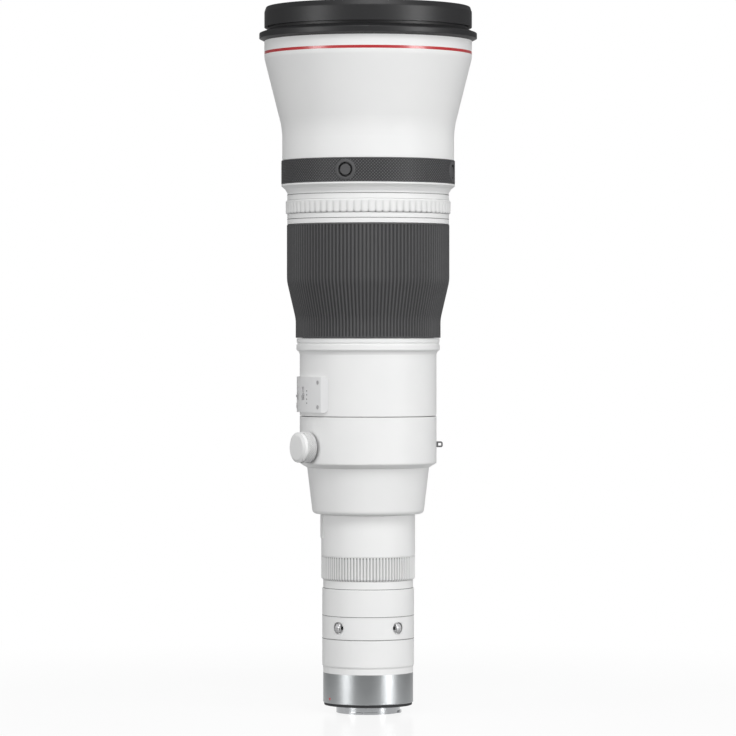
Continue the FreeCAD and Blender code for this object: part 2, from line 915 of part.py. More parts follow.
def threaded_hole(radius, depth, height):
    """Plain bore from the plate's outer face, with a bevelled mouth."""
    mouth = Part.makeCone(
        radius,
        radius + 2 * thread_mouth,
        2 * thread_mouth,
        Vector(0, foot_reach - thread_mouth, height),
        Vector(0, 1, 0),
    )
    return foot_rod(radius, foot_reach - depth, foot_reach + 1, 0, height).fuse(mouth)


def foot_screw_grip():
    """Thickness of the neck's foot that the screws clamp."""
    return foot_pad_height / 4


def is_outer_upright(edge):
    """Straight edges of the plate that run along Z on its outer face."""
    box = edge.BoundBox
    return box.ZLength > foot_plate_length / 2 and box.YMin > foot_reach - 0.01


def foot_screws():
    screws = []
    for x, z in foot_screw_places():
        seat = foot_pad_reach + foot_screw_grip()
        top = seat + foot_screw_head
        shank = foot_rod(foot_screw_radius, foot_pad_reach - foot_screw_depth, seat, x, z)
        head = foot_rod(foot_screw_head, seat, top, x, z)
        socket = foot_rod(foot_screw_head / 2, top - foot_screw_radius, top + 1, x, z)
        screws.append(shank.fuse(head).cut(socket).removeSplitter())
    return Part.makeCompound(screws)


def radial_turned(corners, azimuth, height):
    """Body of revolution about a radial axis; its corners' heights are distances from the optical axis."""
    body = turned_body(corners)
    body.rotate(Vector(0, 0, 0), Vector(1, 0, 0), 90)
    body.translate(Vector(0, 0, height))
    return at_azimuth(body, azimuth)


def lock_knob():
    """Knob: gripped body, groove and bevelled cap, hollow where it covers the collar's boss."""
    cap_low = knob_reach - knob_cap_length
    hollow = boss_radius + running_gap
    return radial_turned([
        (hollow, knob_base),
        (knob_radius, knob_base, 0.6),
        (knob_radius, cap_low - knob_groove, 0.3),
        (knob_radius - knob_groove, cap_low - knob_groove),
        (knob_radius - knob_groove, cap_low),
        (knob_radius - 0.2, cap_low, 0.3),
        (knob_radius - 0.2, knob_reach - knob_bevel, 0.5),
        (knob_radius - knob_bevel - 0.8, knob_reach, 0.5),
        (0, knob_reach),
        (0, boss_reach + 3.0),
        (lock_screw_radius + seat_gap / 2, boss_reach + 3.0),
        (lock_screw_radius + seat_gap / 2, boss_reach + running_gap),
        (hollow, boss_reach + running_gap),
    ], knob_azimuth, knob_height)


def lock_screw():
    return radial_turned([
        (0, lock_screw_tip),
        (lock_screw_radius, lock_screw_tip, 0.5),
        (lock_screw_radius, boss_reach + 3.0),
        (0, boss_reach + 3.0),
    ], knob_azimuth, knob_height)


def strap_lugs():
    """Two U-shaped bars on the collar, one at each side."""
    half = lug_height / 2
    seat = collar_radius + seat_gap / 2
    low = lug_height_centre - half
    outer = Part.makeBox(lug_reach - seat, lug_width, lug_height, Vector(seat, -lug_width / 2, low))
    far = [edge for edge in outer.Edges if edge.BoundBox.XMin > lug_reach - 0.01]
    outer = outer.makeFillet(lug_bar * 1.3, [edge for edge in far if edge.BoundBox.YLength > 1])
    inner = Part.makeBox(
        lug_reach - seat - lug_bar + 1, lug_width + 2, lug_height - 2 * lug_bar,
        Vector(seat - 1, -lug_width / 2 - 1, low + lug_bar))
    lug = outer.cut(inner)
    lug = lug.cut(disc(seat, low - 1, low + lug_height + 1))
    plate = Part.makeBox(1.2, lug_width, lug_height, Vector(seat, -lug_width / 2, low)).cut(
        disc(seat, low - 1, low + lug_height + 1))
    lug = lug.fuse(plate).removeSplitter()
    opposite = lug.copy()
    opposite.rotate(Vector(0, 0, 0), Vector(0, 0, 1), 180)
    return Part.makeCompound([lug, opposite])


def main_barrel():
    """White barrel with the journal of the tripod collar below it."""
    return turned_body([
        (journal_bore, cone_top),
        (journal_radius, cone_top),
        (journal_radius, barrel_low),
        (barrel_radius, barrel_low, 0.4),
        (barrel_radius, barrel_high),
        (barrel_bore, barrel_high),
        (barrel_bore, barrel_low + iris_low),
        (journal_bore, barrel_low + iris_low),
    ])


def iris_unit():
    """Closed unit with the diaphragm and its motor."""
    low = barrel_low + iris_low
    return turned_body([
        (iris_bore, low + 3),
        (iris_bore + 6, low),
        (tube_radius, low),
        (tube_radius, low + iris_thickness),
        (iris_bore + 6, low + iris_thickness),
        (iris_bore, low + iris_thickness - 3),
    ])


def main_tube():
    """Inner tube: carries the focus ring, shows as a neck above it, and is the playback ring's journal."""
    journal_low = neck_low - focus_journal_length
    top = band_collar_low + tube_top_spigot
    inner_top = playback_journal - tube_top_wall
    flare = inner_top - tube_bore
    body = turned_body([
        (tube_bore, tube_low),
        (tube_radius, tube_low),
        (tube_radius, journal_low),
        (focus_journal_radius(), journal_low),
        (focus_journal_radius(), neck_low),
        (neck_radius, neck_low, 0.3),
        (neck_radius, playback_low - running_gap / 2, 0.3),
        (playback_journal, playback_low - running_gap / 2),
        (playback_journal, top),
        (inner_top, top),
        (inner_top, journal_low + tube_wall + flare * 0.8),
        (tube_bore, journal_low + tube_wall),
    ])
    return body.cut(seam_cutter(neck_radius, neck_low + tube_neck_length / 2))


def seam_cutter(radius, height):
    """Ring that cuts a fine seam line into an outer face."""
    return tube(radius + 1, radius - groove_width / 2, height - groove_width / 2, height + groove_width / 2)


def focus_journal_radius():
    return grip_high_radius - grip_thickness - focus_sleeve_wall - bearing_gap


def focus_end_ring():
    """White ring below the grip, with a groove and a rounded bead."""
    groove_low = barrel_high + end_ring_groove_height
    bead_low = barrel_high + 3.1
    return turned_body([
        (barrel_bore, barrel_high),
        (barrel_radius, barrel_high, 0),
        (barrel_radius + 0.6, barrel_high + 1.8, 1.5),
        (end_ring_radius - 0.3, bead_low),
        (end_ring_radius + 0.2, bead_low + 0.5, 0.8),
        (end_ring_radius + 0.2, groove_low, 1.2),
        (end_ring_radius - 0.6, groove_low),
        (end_ring_radius - 0.6, groove_low + end_ring_groove),
        (end_ring_radius, groove_low + end_ring_groove, 0.3),
        (end_ring_radius, end_ring_top, 0.4),
        (barrel_bore, end_ring_top),
    ])


def grip_profile(inset):
    """Corners of the grip's outer line, moved inwards by an inset."""
    return [
        (grip_low_radius - inset, grip_low),
        (grip_low_radius - inset, grip_low + grip_low_corner, grip_rounding),
        (grip_high_radius - inset, grip_low + grip_high_corner, grip_rounding),
        (grip_high_radius - inset, grip_high),
    ]


def focus_sleeve():
    outer = grip_profile(grip_thickness)
    bearing = tube_radius + bearing_gap
    inner_low = grip_low_radius - grip_thickness - focus_sleeve_wall
    inner_high = focus_journal_radius() + bearing_gap
    return turned_body(outer + [
        (inner_high, grip_high),
        (inner_high, grip_low + grip_high_corner),
        (inner_low, grip_low + grip_low_corner),
        (inner_low, grip_low + focus_bearing_length),
        (bearing, grip_low + focus_bearing_length),
        (bearing, grip_low),
    ])


def focus_grip():
    inner = [(radius, height, *rest) for radius, height, *rest in grip_profile(grip_thickness - seat_gap)]
    outer = grip_profile(0)
    outer[0] = (outer[0][0], outer[0][1], 0.5)
    outer[-1] = (outer[-1][0], outer[-1][1], 0.5)
    return turned_body(outer + inner[::-1])


def playback_ring():
    """Ring of shallow lobes between two necks; it turns a little to each side and springs back."""
    bore = playback_journal + bearing_gap
    blank = turned_body([
        (bore, playback_low),
        (playback_radius, playback_low, 1.2),
        (playback_radius, playback_high, 1.2),
        (bore, playback_high),
    ])
    root = playback_radius - playback_lobe_depth
    tip = playback_radius + 0.1
    lobes = toothed_prism(tip, root, playback_lobes, 0.55, playback_low - 1, playback_high + 1)
    return blank.common(lobes).removeSplitter()


def band_collar():
    """White collar that flares to the button band, with a spigot that carries the band."""
    seam = band_collar_low + band_collar_length / 3
    spigot_seat = band_collar_low + tube_top_spigot + seat_gap
    body = turned_body([
        (playback_journal + seat_gap, band_collar_low),
        (neck_radius, band_collar_low, 0.3),
        (neck_radius, seam + 1.6, 1.5),
        (neck_radius + 1.6, band_low - 3.8, 2.0),
        (band_radius, band_low - band_collar_lip, 0.6),
        (band_radius, band_low, 0.3),
        (band_collar_spigot, band_low),
        (band_collar_spigot, band_high),
        (band_collar_bore, band_high),
        (band_collar_bore, spigot_seat - seat_gap),
        (playback_journal + seat_gap, spigot_seat - seat_gap),
    ])
    return body.cut(seam_cutter(neck_radius, seam))


def button_band():
    """Rubber band with four wells, each with a raised rim."""
    inner = band_collar_spigot + seat_gap
    body = turned_body([
        (inner, band_low),
        (band_radius, band_low, 0.6),
        (band_radius, band_high, 0.6),
        (inner, band_high),
    ])
    middle = (band_low + band_high) / 2
    for azimuth in button_azimuths:
        rim = radial_rod(bezel_radius, inner + 1, band_radius + bezel_proud, middle)
        body = body.fuse(at_azimuth(rim, azimuth))
    for azimuth in button_azimuths:
        well = radial_rod(button_well, band_collar_spigot - 1, band_radius + 2, middle)
        body = body.cut(at_azimuth(well, azimuth))
    return body.removeSplitter()


def focus_stop_button(azimuth):
    base = band_collar_spigot + button_travel + running_gap
    step = base + button_base_thickness
    cap = band_radius - button_sink
    return radial_turned([
        (0, base),
        (button_base, base),
        (button_base, step),
        (button_radius, step),
        (button_radius, cap, 0.5),
        (0, cap),
    ], azimuth, (band_low + band_high) / 2)


def front_barrel():
    """White barrel that opens out to the front, with the red ring's groove and the front cell's seat."""
    seat = front_low + cell_seat_height
    low_inner = front_low_radius - front_wall
    high_inner = front_radius - front_wall
    groove = front_low + red_height
    return turned_body([
        (band_collar_bore + 0.5, front_low),
        (front_low_radius, front_low, 0.3),
        (front_low_radius, front_low + front_low_corner, front_low_rounding),
        (front_radius, front_low + front_high_corner, front_high_rounding),
        (front_radius, groove),
        (front_radius - red_depth, groove),
        (front_radius - red_depth, groove + red_width),
        (front_radius, groove + red_width),
        (front_radius, front_high),
        (high_inner, front_high),
        (high_inner, seat),
        (cell_seat_inner, seat),
        (cell_seat_inner, seat - 8),
        (low_inner, front_low + front_low_corner),
        (low_inner, front_low + front_foot),
        (band_collar_bore + 0.5, front_low + front_foot),
    ])


def red_ring():
    low = front_low + red_height
    return tube(front_radius, front_radius - red_depth + 0.05, low, low + red_width)


def front_cell():
    """Ring that holds the front element, seated on the barrel's inner shoulder."""
    low = front_low + cell_seat_height
    outer = front_radius - front_wall - seat_gap
    inner = front_lens_radius + seat_gap
    return turned_body([
        (front_lens_radius - 2.0, low),
        (outer, low),
        (outer, low + front_cell_length),
        (inner, low + front_cell_length),
        (inner, low + front_cell_lip),
        (front_lens_radius - 2.0, low + front_cell_lip),
    ])


def front_element():
    low = front_low + cell_seat_height + front_cell_lip
    high = front_low + cell_seat_height + front_cell_length - lens_margin
    return lens(front_lens_radius, low, high, front_lens_curve, -front_lens_hollow)


def front_retaining_ring():
    low = front_low + cell_seat_height + front_cell_length
    outer = front_radius - front_wall - seat_gap
    return turned_body([
        (retainer_inner, low),
        (outer, low),
        (outer, low + retainer_length),
        (retainer_inner + 1.6, low + retainer_length),
        (retainer_inner, low + 1.0),
    ])


def group_cell_low():
    return front_low + front_foot


def front_group_cell():
    """Ring with a shoulder between its two lenses; it stands on the front barrel's foot."""
    low = group_cell_low()
    high = low + group_cell_length
    outer = front_low_radius - front_wall - seat_gap
    inner = outer - group_cell_wall
    return turned_body([
        (inner, low),
        (outer, low),
        (outer, high),
        (inner, high),
        (inner, high - group_lens_edge),
        (inner - 2, high - group_lens_edge),
        (inner - 2, low + group_lens_edge),
        (inner, low + group_lens_edge),
    ])


def front_group_lenses():
    radius = front_low_radius - front_wall - group_cell_wall - 2 * seat_gap
    low = group_cell_low()
    second = low + group_cell_length - group_lens_edge
    first_lens = lens(radius, low, low + group_lens_edge, -group_lens_curve * 2, -group_lens_curve * 3)
    second_lens = lens(radius, second, second + group_lens_edge, group_lens_curve * 2, -group_lens_curve * 3)
    return Part.makeCompound([first_lens, second_lens])


def front_flange():
    """Black flange that the hood's clamp rests on."""
    return turned_body([
        (front_flange_bore, front_high),
        (front_radius, front_high),
        (front_flange_radius, front_high + flange_low_chamfer, 0.3),
        (front_flange_radius, front_high + flange_low_chamfer + front_flange_edge, 0.8),
        (hood_groove_radius, flange_high),
        (front_flange_bore, flange_high),
    ])


def front_ring():
    """Black hood seat with a bevelled mouth and light-trap steps inside."""
    groove_high = flange_high + hood_groove_length
    mouth = front_radius - hood_corner_width - 1.2
    points = [
        (front_flange_bore, flange_high),
        (hood_groove_radius, flange_high),
        (hood_groove_radius, groove_high),
        (front_radius, groove_high, 0.3),
        (front_radius, front_end - hood_corner_height, 3.0),
        (front_radius - hood_corner_width, front_end, 1.2),
        (mouth, front_end, 0.4),
        (hood_bore, front_end - hood_mouth_depth),
    ]
    step = (front_end - hood_mouth_depth - groove_high) / hood_steps
    for index in range(hood_steps):
        level = front_end - hood_mouth_depth - step * index
        points.append((hood_bore, level - step / 2))
        points.append((hood_bore - hood_step_depth, level - step / 2))
        points.append((hood_bore - hood_step_depth, level - step))
        if index < hood_steps - 1:
            points.append((hood_bore, level - step))
    return turned_body(points)


def switch_panel():
    """Curved panel on the barrel's side: bevelled ends, slots for the switches, a hole for the button."""
    outer = barrel_radius + panel_thickness
    inner = barrel_radius + seat_gap / 2
    half = panel_span / 2
    flat = half - panel_bevel_span

    def place(radius, azimuth):
        angle = math.radians(azimuth)
        return Vector(radius * math.sin(angle), -radius * math.cos(angle), panel_low)

    edges = [
        Part.LineSegment(place(inner, -half), place(outer, -flat)).toShape(),
        Part.Arc(place(outer, -flat), place(outer, 0), place(outer, flat)).toShape(),
        Part.LineSegment(place(outer, flat), place(inner, half)).toShape(),
        Part.Arc(place(inner, half), place(inner, 0), place(inner, -half)).toShape(),
    ]
    plate = Part.Face(Part.Wire(edges)).extrude(Vector(0, 0, panel_height))
    for azimuth in (-half, half):
        for low in (panel_low, panel_low + panel_height):
            cutter = radial_block(3.2, inner - 4, outer + 2, -1.6, 1.6)
            cutter.rotate(Vector(0, 0, 0), Vector(0, -1, 0), 45)
            cutter.translate(Vector(0, 0, low))
            plate = plate.cut(at_azimuth(cutter, azimuth))
    floor = barrel_radius + slot_floor
    slot = radial_block(slot_width, floor, outer + 1, slot_low(), slot_low() + slot_height)
    for azimuth in (focus_switch_azimuth, range_switch_azimuth, stabiliser_switch_azimuth):
        plate = plate.cut(at_azimuth(slot, azimuth))
    hole = radial_rod(preset_radius + 0.2, inner - 1, outer + 1, panel_low + preset_height)
    plate = plate.cut(at_azimuth(hole, preset_azimuth))
    for azimuth, height in panel_screw_places():
        seat = radial_rod(panel_screw_radius + seat_gap, outer - panel_screw_sink, outer + 1, height)
        plate = plate.cut(at_azimuth(seat, azimuth))
    return at_azimuth(plate.removeSplitter(), panel_azimuth)


def slot_low():
    return panel_low + slot_middle - slot_height / 2


def panel_screw_places():
    middle = panel_low + panel_height / 2
    places = []
    for azimuth in panel_screw_azimuths:
        for side in (-1, 1):
            places.append((azimuth, middle + side * panel_screw_spacing / 2))
    return places


def panel_screws():
    outer = barrel_radius + panel_thickness
    screws = []
    for azimuth, height in panel_screw_places():
        low = height - panel_screw_radius
        high = height + panel_screw_radius
        head = radial_rod(panel_screw_radius, outer - panel_screw_sink, outer - 0.1, height)
        slot = radial_block(0.4, outer - panel_screw_sink / 2, outer + 1, low, high)
        screws.append(at_azimuth(head.cut(slot), azimuth + panel_azimuth))
    return Part.makeCompound(screws)


def slide_switch(azimuth):
    """Switch knob at the lower end of its slot, with a ridge across its top."""
    base = barrel_radius + slot_floor + running_gap / 2
    top = barrel_radius + panel_thickness + knob_proud
    low = slot_low() + running_gap
    body = radial_block(knob_width, base, top - 0.6, low, low + knob_tall)
    middle = low + knob_tall / 2
    ridge = radial_block(knob_width, base, top, middle - knob_tall / 5, middle + knob_tall / 5)
    return at_azimuth(body.fuse(ridge).removeSplitter(), azimuth + panel_azimuth)


def preset_button():
    outer = barrel_radius + panel_thickness
    return radial_turned([
        (0, outer - preset_depth),
        (preset_radius, outer - preset_depth),
        (preset_radius, outer + preset_proud, 0.3),
        (0, outer + preset_proud),
    ], preset_azimuth + panel_azimuth, panel_low + preset_height)


def drive_low():
    return barrel_low + stator_low


def guide_top():
    return drive_low() + stator_height + guide_length


def follower_height():
    return drive_low() + focus_cell_low + focus_cell_length / 2


def focus_stator():
    """Fixed ring of the focus motor with the guide tube, which has a straight slot for each follower."""
    guide_inner = guide_outer - guide_wall
    body = turned_body([
        (guide_inner, drive_low()),
        (tube_bore - seat_gap, drive_low()),
        (tube_bore - seat_gap, drive_low() + stator_height),
        (guide_outer, drive_low() + stator_height),
        (guide_outer, guide_top()),
        (guide_inner, guide_top()),
    ])
    half = follower_radius + slot_clearance
    slot = radial_block(
        2 * half, guide_inner - 2, guide_outer + 0.2,
        follower_height() - half, follower_height() + focus_travel + half)
    for index in range(follower_count):
        body = body.cut(at_azimuth(slot, 360 / follower_count * index))
    return body


def helical_slot():
    """Cutter along a left-hand helix, from the follower's lowest place to its highest."""
    extra = follower_radius + slot_clearance
    inner = rotor_bore - 1
    outer = rotor_bore + cam_wall + 1
    pitch = focus_travel * 360 / focus_turn
    slope = math.atan2(focus_travel, math.radians(focus_turn) * rotor_bore)
    extra_rise = extra * math.sin(slope)
    half = (follower_radius + slot_clearance) / math.cos(slope)
    low = follower_height() - extra_rise
    height = focus_travel + 2 * extra_rise
    helix = Part.makeLongHelix(pitch, height, rotor_bore, 0, True)
    helix.translate(Vector(0, 0, low))
    profile = Part.makePolygon([
        Vector(inner, 0, low - half),
        Vector(outer, 0, low - half),
        Vector(outer, 0, low + half),
        Vector(inner, 0, low + half),
        Vector(inner, 0, low - half),
    ])
    cutter = Part.Wire(helix).makePipeShell([profile], True, True)
    lead = math.degrees(extra_rise / focus_travel * math.radians(focus_turn))
    cutter.rotate(Vector(0, 0, 0), Vector(0, 0, 1), lead - 90)
    return cutter


def focus_rotor():
    """Rotor ring of the focus motor with the cam tube; each helical slot lifts one follower."""
    low = drive_low() + stator_height + running_gap
    cam_outer = rotor_bore + cam_wall
    top = follower_height() + focus_travel + follower_radius + cam_top_margin
    body = turned_body([
        (rotor_bore, low),
        (rotor_radius, low),
        (rotor_radius, low + rotor_height),
        (cam_outer, low + rotor_height),
        (cam_outer, top),
        (rotor_bore, top),
    ])
    slot = helical_slot()
    for index in range(follower_count):
        body = body.cut(at_azimuth(slot, 360 / follower_count * index))
    return body


def focus_cell():
    """Lens cell that slides inside the guide tube, with a follower pin for each slot."""
    low = drive_low() + focus_cell_low
    outer = guide_outer - guide_wall - running_gap
    inner = focus_lens_radius + seat_gap
    body = turned_body([
        (inner - 2, low),
        (outer, low),
        (outer, low + focus_cell_length),
        (inner, low + focus_cell_length),
        (inner, low + 1.5),
        (inner - 2, low + 1.5),
    ])
    reach = rotor_bore + cam_wall + 0.2
    for index in range(follower_count):
        follower = radial_rod(follower_radius, outer - 2, reach, follower_height())
        body = body.fuse(at_azimuth(follower, 360 / follower_count * index))
    return body.removeSplitter()


def focus_lens():
    low = drive_low() + focus_cell_low + 1.5 + lens_margin
    return lens(focus_lens_radius, low, low + focus_cell_length / 2, -focus_lens_curve, focus_lens_curve * 3)


def all_parts():
    parts = {
        "bayonet": bayonet(),
        "bayonet_screws": mount_screws(),
        "contact_block": contact_block(),
        "contact_pins": contact_pins(),
        "mount_gasket": mount_gasket(),
        "mount_sleeve": mount_sleeve(),
        "rear_lens": rear_lens(),
        "filter_housing": filter_housing(),
        "circuit_board": circuit_board(),
        "filter_drawer": filter_drawer(),
        "filter_glass": filter_glass(),
        "left_catch": release_catch(-1),
        "right_catch": release_catch(1),
        "control_ring": control_ring(),
        "rear_tube": rear_tube(),
        "relay_cell": relay_cell(),
        "relay_lenses": relay_lenses(),
        "rear_cone": rear_cone(),
        "stabiliser_base": stabiliser_base(),
        "stabiliser_guide": stabiliser_guide(),
        "stabiliser_cell": stabiliser_cell(),
        "stabiliser_lens": stabiliser_lens(),
        "collar_ring": collar_ring(),
        "tripod_foot": tripod_foot(),
        "foot_screws": foot_screws(),
        "strap_lugs": strap_lugs(),
        "lock_knob": lock_knob(),
        "lock_screw": lock_screw(),
        "main_barrel": main_barrel(),
        "iris_unit": iris_unit(),
        "main_tube": main_tube(),
        "focus_end_ring": focus_end_ring(),
        "focus_stator": focus_stator(),
        "focus_rotor": focus_rotor(),
        "focus_cell": focus_cell(),
        "focus_lens": focus_lens(),
        "focus_sleeve": focus_sleeve(),
        "focus_grip": focus_grip(),
        "playback_ring": playback_ring(),
        "band_collar": band_collar(),
        "button_band": button_band(),
        "front_barrel": front_barrel(),
        "red_ring": red_ring(),
        "front_cell": front_cell(),
        "front_element": front_element(),
        "front_retaining_ring": front_retaining_ring(),
        "front_group_cell": front_group_cell(),
        "front_group_lenses": front_group_lenses(),
        "front_flange": front_flange(),
        "front_ring": front_ring(),
        "switch_panel": switch_panel(),
        "panel_screws": panel_screws(),
        "focus_mode_switch": slide_switch(focus_switch_azimuth),
        "range_switch": slide_switch(range_switch_azimuth),
        "stabiliser_switch": slide_switch(stabiliser_switch_azimuth),
        "preset_button": preset_button(),
    }
    for number, azimuth in enumerate(button_azimuths, 1):
        parts["focus_stop_button_%d" % number] = focus_stop_button(azimuth)
    return parts


os.makedirs("parts", exist_ok=True)
for name, shape in all_parts().items():
    shape.exportStep("parts/%s.step" % name)
    print("%-22s %d solids, %.1f mm3, valid %s" % (name, len(shape.Solids), shape.Volume, shape.isValid()))
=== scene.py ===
# Super telephoto lens standing on its bayonet. Sizes below are in millimetres in the frame's axes, and put_grid turns
# them into metres: Z is the optical axis, -Y the side that the camera sees, and the tripod foot is on the +Y side.
import math
import bpy
import bmesh
import numpy as np
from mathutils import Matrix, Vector


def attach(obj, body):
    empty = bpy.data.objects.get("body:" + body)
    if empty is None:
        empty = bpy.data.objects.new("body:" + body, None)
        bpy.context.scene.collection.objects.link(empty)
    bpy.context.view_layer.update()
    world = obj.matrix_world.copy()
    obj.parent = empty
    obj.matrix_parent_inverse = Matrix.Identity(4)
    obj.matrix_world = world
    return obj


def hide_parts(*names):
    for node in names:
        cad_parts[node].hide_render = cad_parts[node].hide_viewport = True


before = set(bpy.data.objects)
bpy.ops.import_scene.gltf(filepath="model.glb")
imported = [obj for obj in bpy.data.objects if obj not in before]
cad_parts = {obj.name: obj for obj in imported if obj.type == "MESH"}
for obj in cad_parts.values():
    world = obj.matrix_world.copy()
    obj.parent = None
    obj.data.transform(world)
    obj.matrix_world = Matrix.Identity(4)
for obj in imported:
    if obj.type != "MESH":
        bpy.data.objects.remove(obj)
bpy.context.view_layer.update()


# Bayonet: the machined, chromed mount with its three tabs and its notch. Four countersunk steel screws hold it in
# the sleeve. Its lathe lines run round the axis.
class Wire:
    """A shader socket that can stand in an expression: arithmetic adds Math nodes, and node() adds any other."""

    def __init__(self, tree, socket=None):
        self.tree = tree
        self.socket = socket

    def node(self, kind, settings=None, inputs=None, output=0):
        """Adds a node of this type, sets its settings, then gives its inputs their values or links."""
        made = self.tree.nodes.new("ShaderNode" + kind)
        for name, value in (settings or {}).items():
            setattr(made, name, value)
        for place, value in (inputs or {}).items():
            if isinstance(value, Wire):
                self.tree.links.new(value.socket, made.inputs[place])
            else:
                made.inputs[place].default_value = value
        return Wire(self.tree, made.outputs[output])

    def other(self, output):
        """Another output of the same node."""
        return Wire(self.tree, self.socket.node.outputs[output])

    def math(self, operation, *values, clamp=False):
        return self.node("Math", {"operation": operation, "use_clamp": clamp}, dict(enumerate(values)))

    def mix(self, factor, first, second):
        """Colour between two colours; Mix keeps its colour sockets at 6 and 7 and its colour output at 2."""
        return self.node("Mix", {"data_type": "RGBA"}, {0: factor, 6: first, 7: second}, output=2)

    def ramp(self, low, high):
        """0 where this value is at low or under it, 1 at high or over it, and smooth between."""
        return self.node("MapRange", {"interpolation_type": "SMOOTHSTEP"}, {0: self, 1: low, 2: high})

    def __add__(self, other):
        return self.math("ADD", self, other)

    def __radd__(self, other):
        return self.math("ADD", other, self)

    def __sub__(self, other):
        return self.math("SUBTRACT", self, other)

    def __mul__(self, other):
        return self.math("MULTIPLY", self, other)

    def __rmul__(self, other):
        return self.math("MULTIPLY", other, self)


class Finish:
    """One material under work: its node tree, its object coordinates and the numbers of its Principled shader."""

    def __init__(self, name, **constants):
        self.material = bpy.data.materials.new(name)
        self.material.use_nodes = True
        tree = self.material.node_tree
        self.shader = tree.nodes["Principled BSDF"]
        for place, value in constants.items():
            self.shader.inputs[place.replace("_", " ")].default_value = value
        self.wire = Wire(tree)
        self.place = self.wire.node("TexCoord", output="Object")

    def noise(self, scale, detail=2.0, stretch=None):
        """Noise from 0 to 1 with features 1 / scale metres wide; stretch scales the three axes."""
        place = self.place
        if stretch:
            place = self.wire.node("Mapping", {}, {"Vector": place, "Scale": stretch})
        return self.wire.node("TexNoise", {"noise_dimensions": "3D"}, {
            "Vector": place, "Scale": scale, "Detail": detail, "Roughness": 0.5})

    def set(self, **values):
        """Links what varies over the surface to the shader."""
        for place, value in values.items():
            self.wire.tree.links.new(value.socket, self.shader.inputs[place.replace("_", " ")])
        return self

    def bump(self, height, strength, distance):
        """Normal from a height field; distance is the depth in metres at height 1."""
        return self.set(Normal=self.wire.node("Bump", {}, {
            "Height": height, "Strength": strength, "Distance": distance}))


def dress(finish, *nodes):
    """Gives CAD nodes a finish."""
    for node in nodes:
        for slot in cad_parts[node].material_slots:
            slot.material = finish.material


def turned_metal(name, dark, pale, rough_low, rough_high, lines):
    """Machined metal: lathe lines are noise that changes along the axis only, and a wide noise dulls it in places."""
    finish = Finish(name, Metallic=1.0)
    line = finish.noise(lines, 3.0, (0.02, 0.02, 1.0))
    cloud = finish.noise(60.0)
    finish.set(
        Base_Color=finish.wire.mix(cloud * 0.6 + line * 0.4, dark, pale),
        Roughness=rough_low + (rough_high - rough_low) * (line * 0.5 + cloud * 0.5))
    return finish.bump(line, 0.12, 0.00005)


chrome = turned_metal("bayonet_chrome", (0.30, 0.31, 0.32, 1), (0.52, 0.53, 0.54, 1), 0.12, 0.24, 5000.0)
steel = turned_metal("screw_steel", (0.35, 0.35, 0.36, 1), (0.55, 0.55, 0.56, 1), 0.25, 0.4, 3000.0)
dress(chrome, "bayonet")
dress(steel, "bayonet_screws", "foot_screws", "lock_screw")


# Contacts: a black moulded block in the mount with a row of gold-plated spring pins.
def moulded(name, dark, pale, rough_low, rough_high, grain, depth, groove_shade=None, shine=0.5):
    """Moulded plastic or paint: a fine grain in the bump and the roughness, and a wide, faint change of colour.
    Where the mesh gives a point painted shade, because it lies in a groove or a hollow, the colour goes over to a dark
    shade colour."""
    finish = Finish(name, Specular_IOR_Level=shine)
    fine = finish.noise(grain, 4.0)
    colour = finish.wire.mix(finish.noise(25.0) * 0.7 + fine * 0.3, dark, pale)
    # Painted shade: grooves and hollows are darkened in the colour itself, standing for the shade that falls there.
    if groove_shade:
        deep = finish.wire.node("Attribute", {"attribute_name": "groove_shade"}, output="Fac")
        colour = finish.wire.mix(deep, colour, groove_shade)
    finish.set(Base_Color=colour, Roughness=rough_low + (rough_high - rough_low) * fine)
    return finish.bump(fine, 0.35, depth)


block_plastic = moulded(
    "contact_plastic", (0.012, 0.012, 0.013, 1), (0.025, 0.025, 0.026, 1), 0.4, 0.6, 3000.0, 0.00003)
gold = turned_metal("contact_gold", (0.75, 0.50, 0.18, 1), (0.95, 0.68, 0.30, 1), 0.2, 0.35, 4000.0)
dress(block_plastic, "contact_block")
dress(gold, "contact_pins")


# Gasket and sleeve: a soft black rubber ring seals the mount, and a satin silver sleeve of turned aluminium carries it.
# A red enamelled dot on the sleeve shows how to turn the lens into its mount.
rubber = moulded("seal_rubber", (0.010, 0.010, 0.011, 1), (0.022, 0.022, 0.024, 1), 0.6, 0.8, 2500.0, 0.00004)
silver = turned_metal("satin_silver", (0.32, 0.332, 0.338, 1), (0.42, 0.432, 0.438, 1), 0.36, 0.44, 2600.0)
dress(rubber, "mount_gasket")
dress(silver, "mount_sleeve")


def around(azimuth):
    """Unit vectors away from the axis and along the azimuth, for azimuths in degrees from -Y towards +X."""
    angle = np.radians(azimuth)
    zero = np.zeros_like(angle)
    outward = np.stack([np.sin(angle), -np.cos(angle), zero], axis=-1)
    along = np.stack([np.cos(angle), np.sin(angle), zero], axis=-1)
    return outward, along


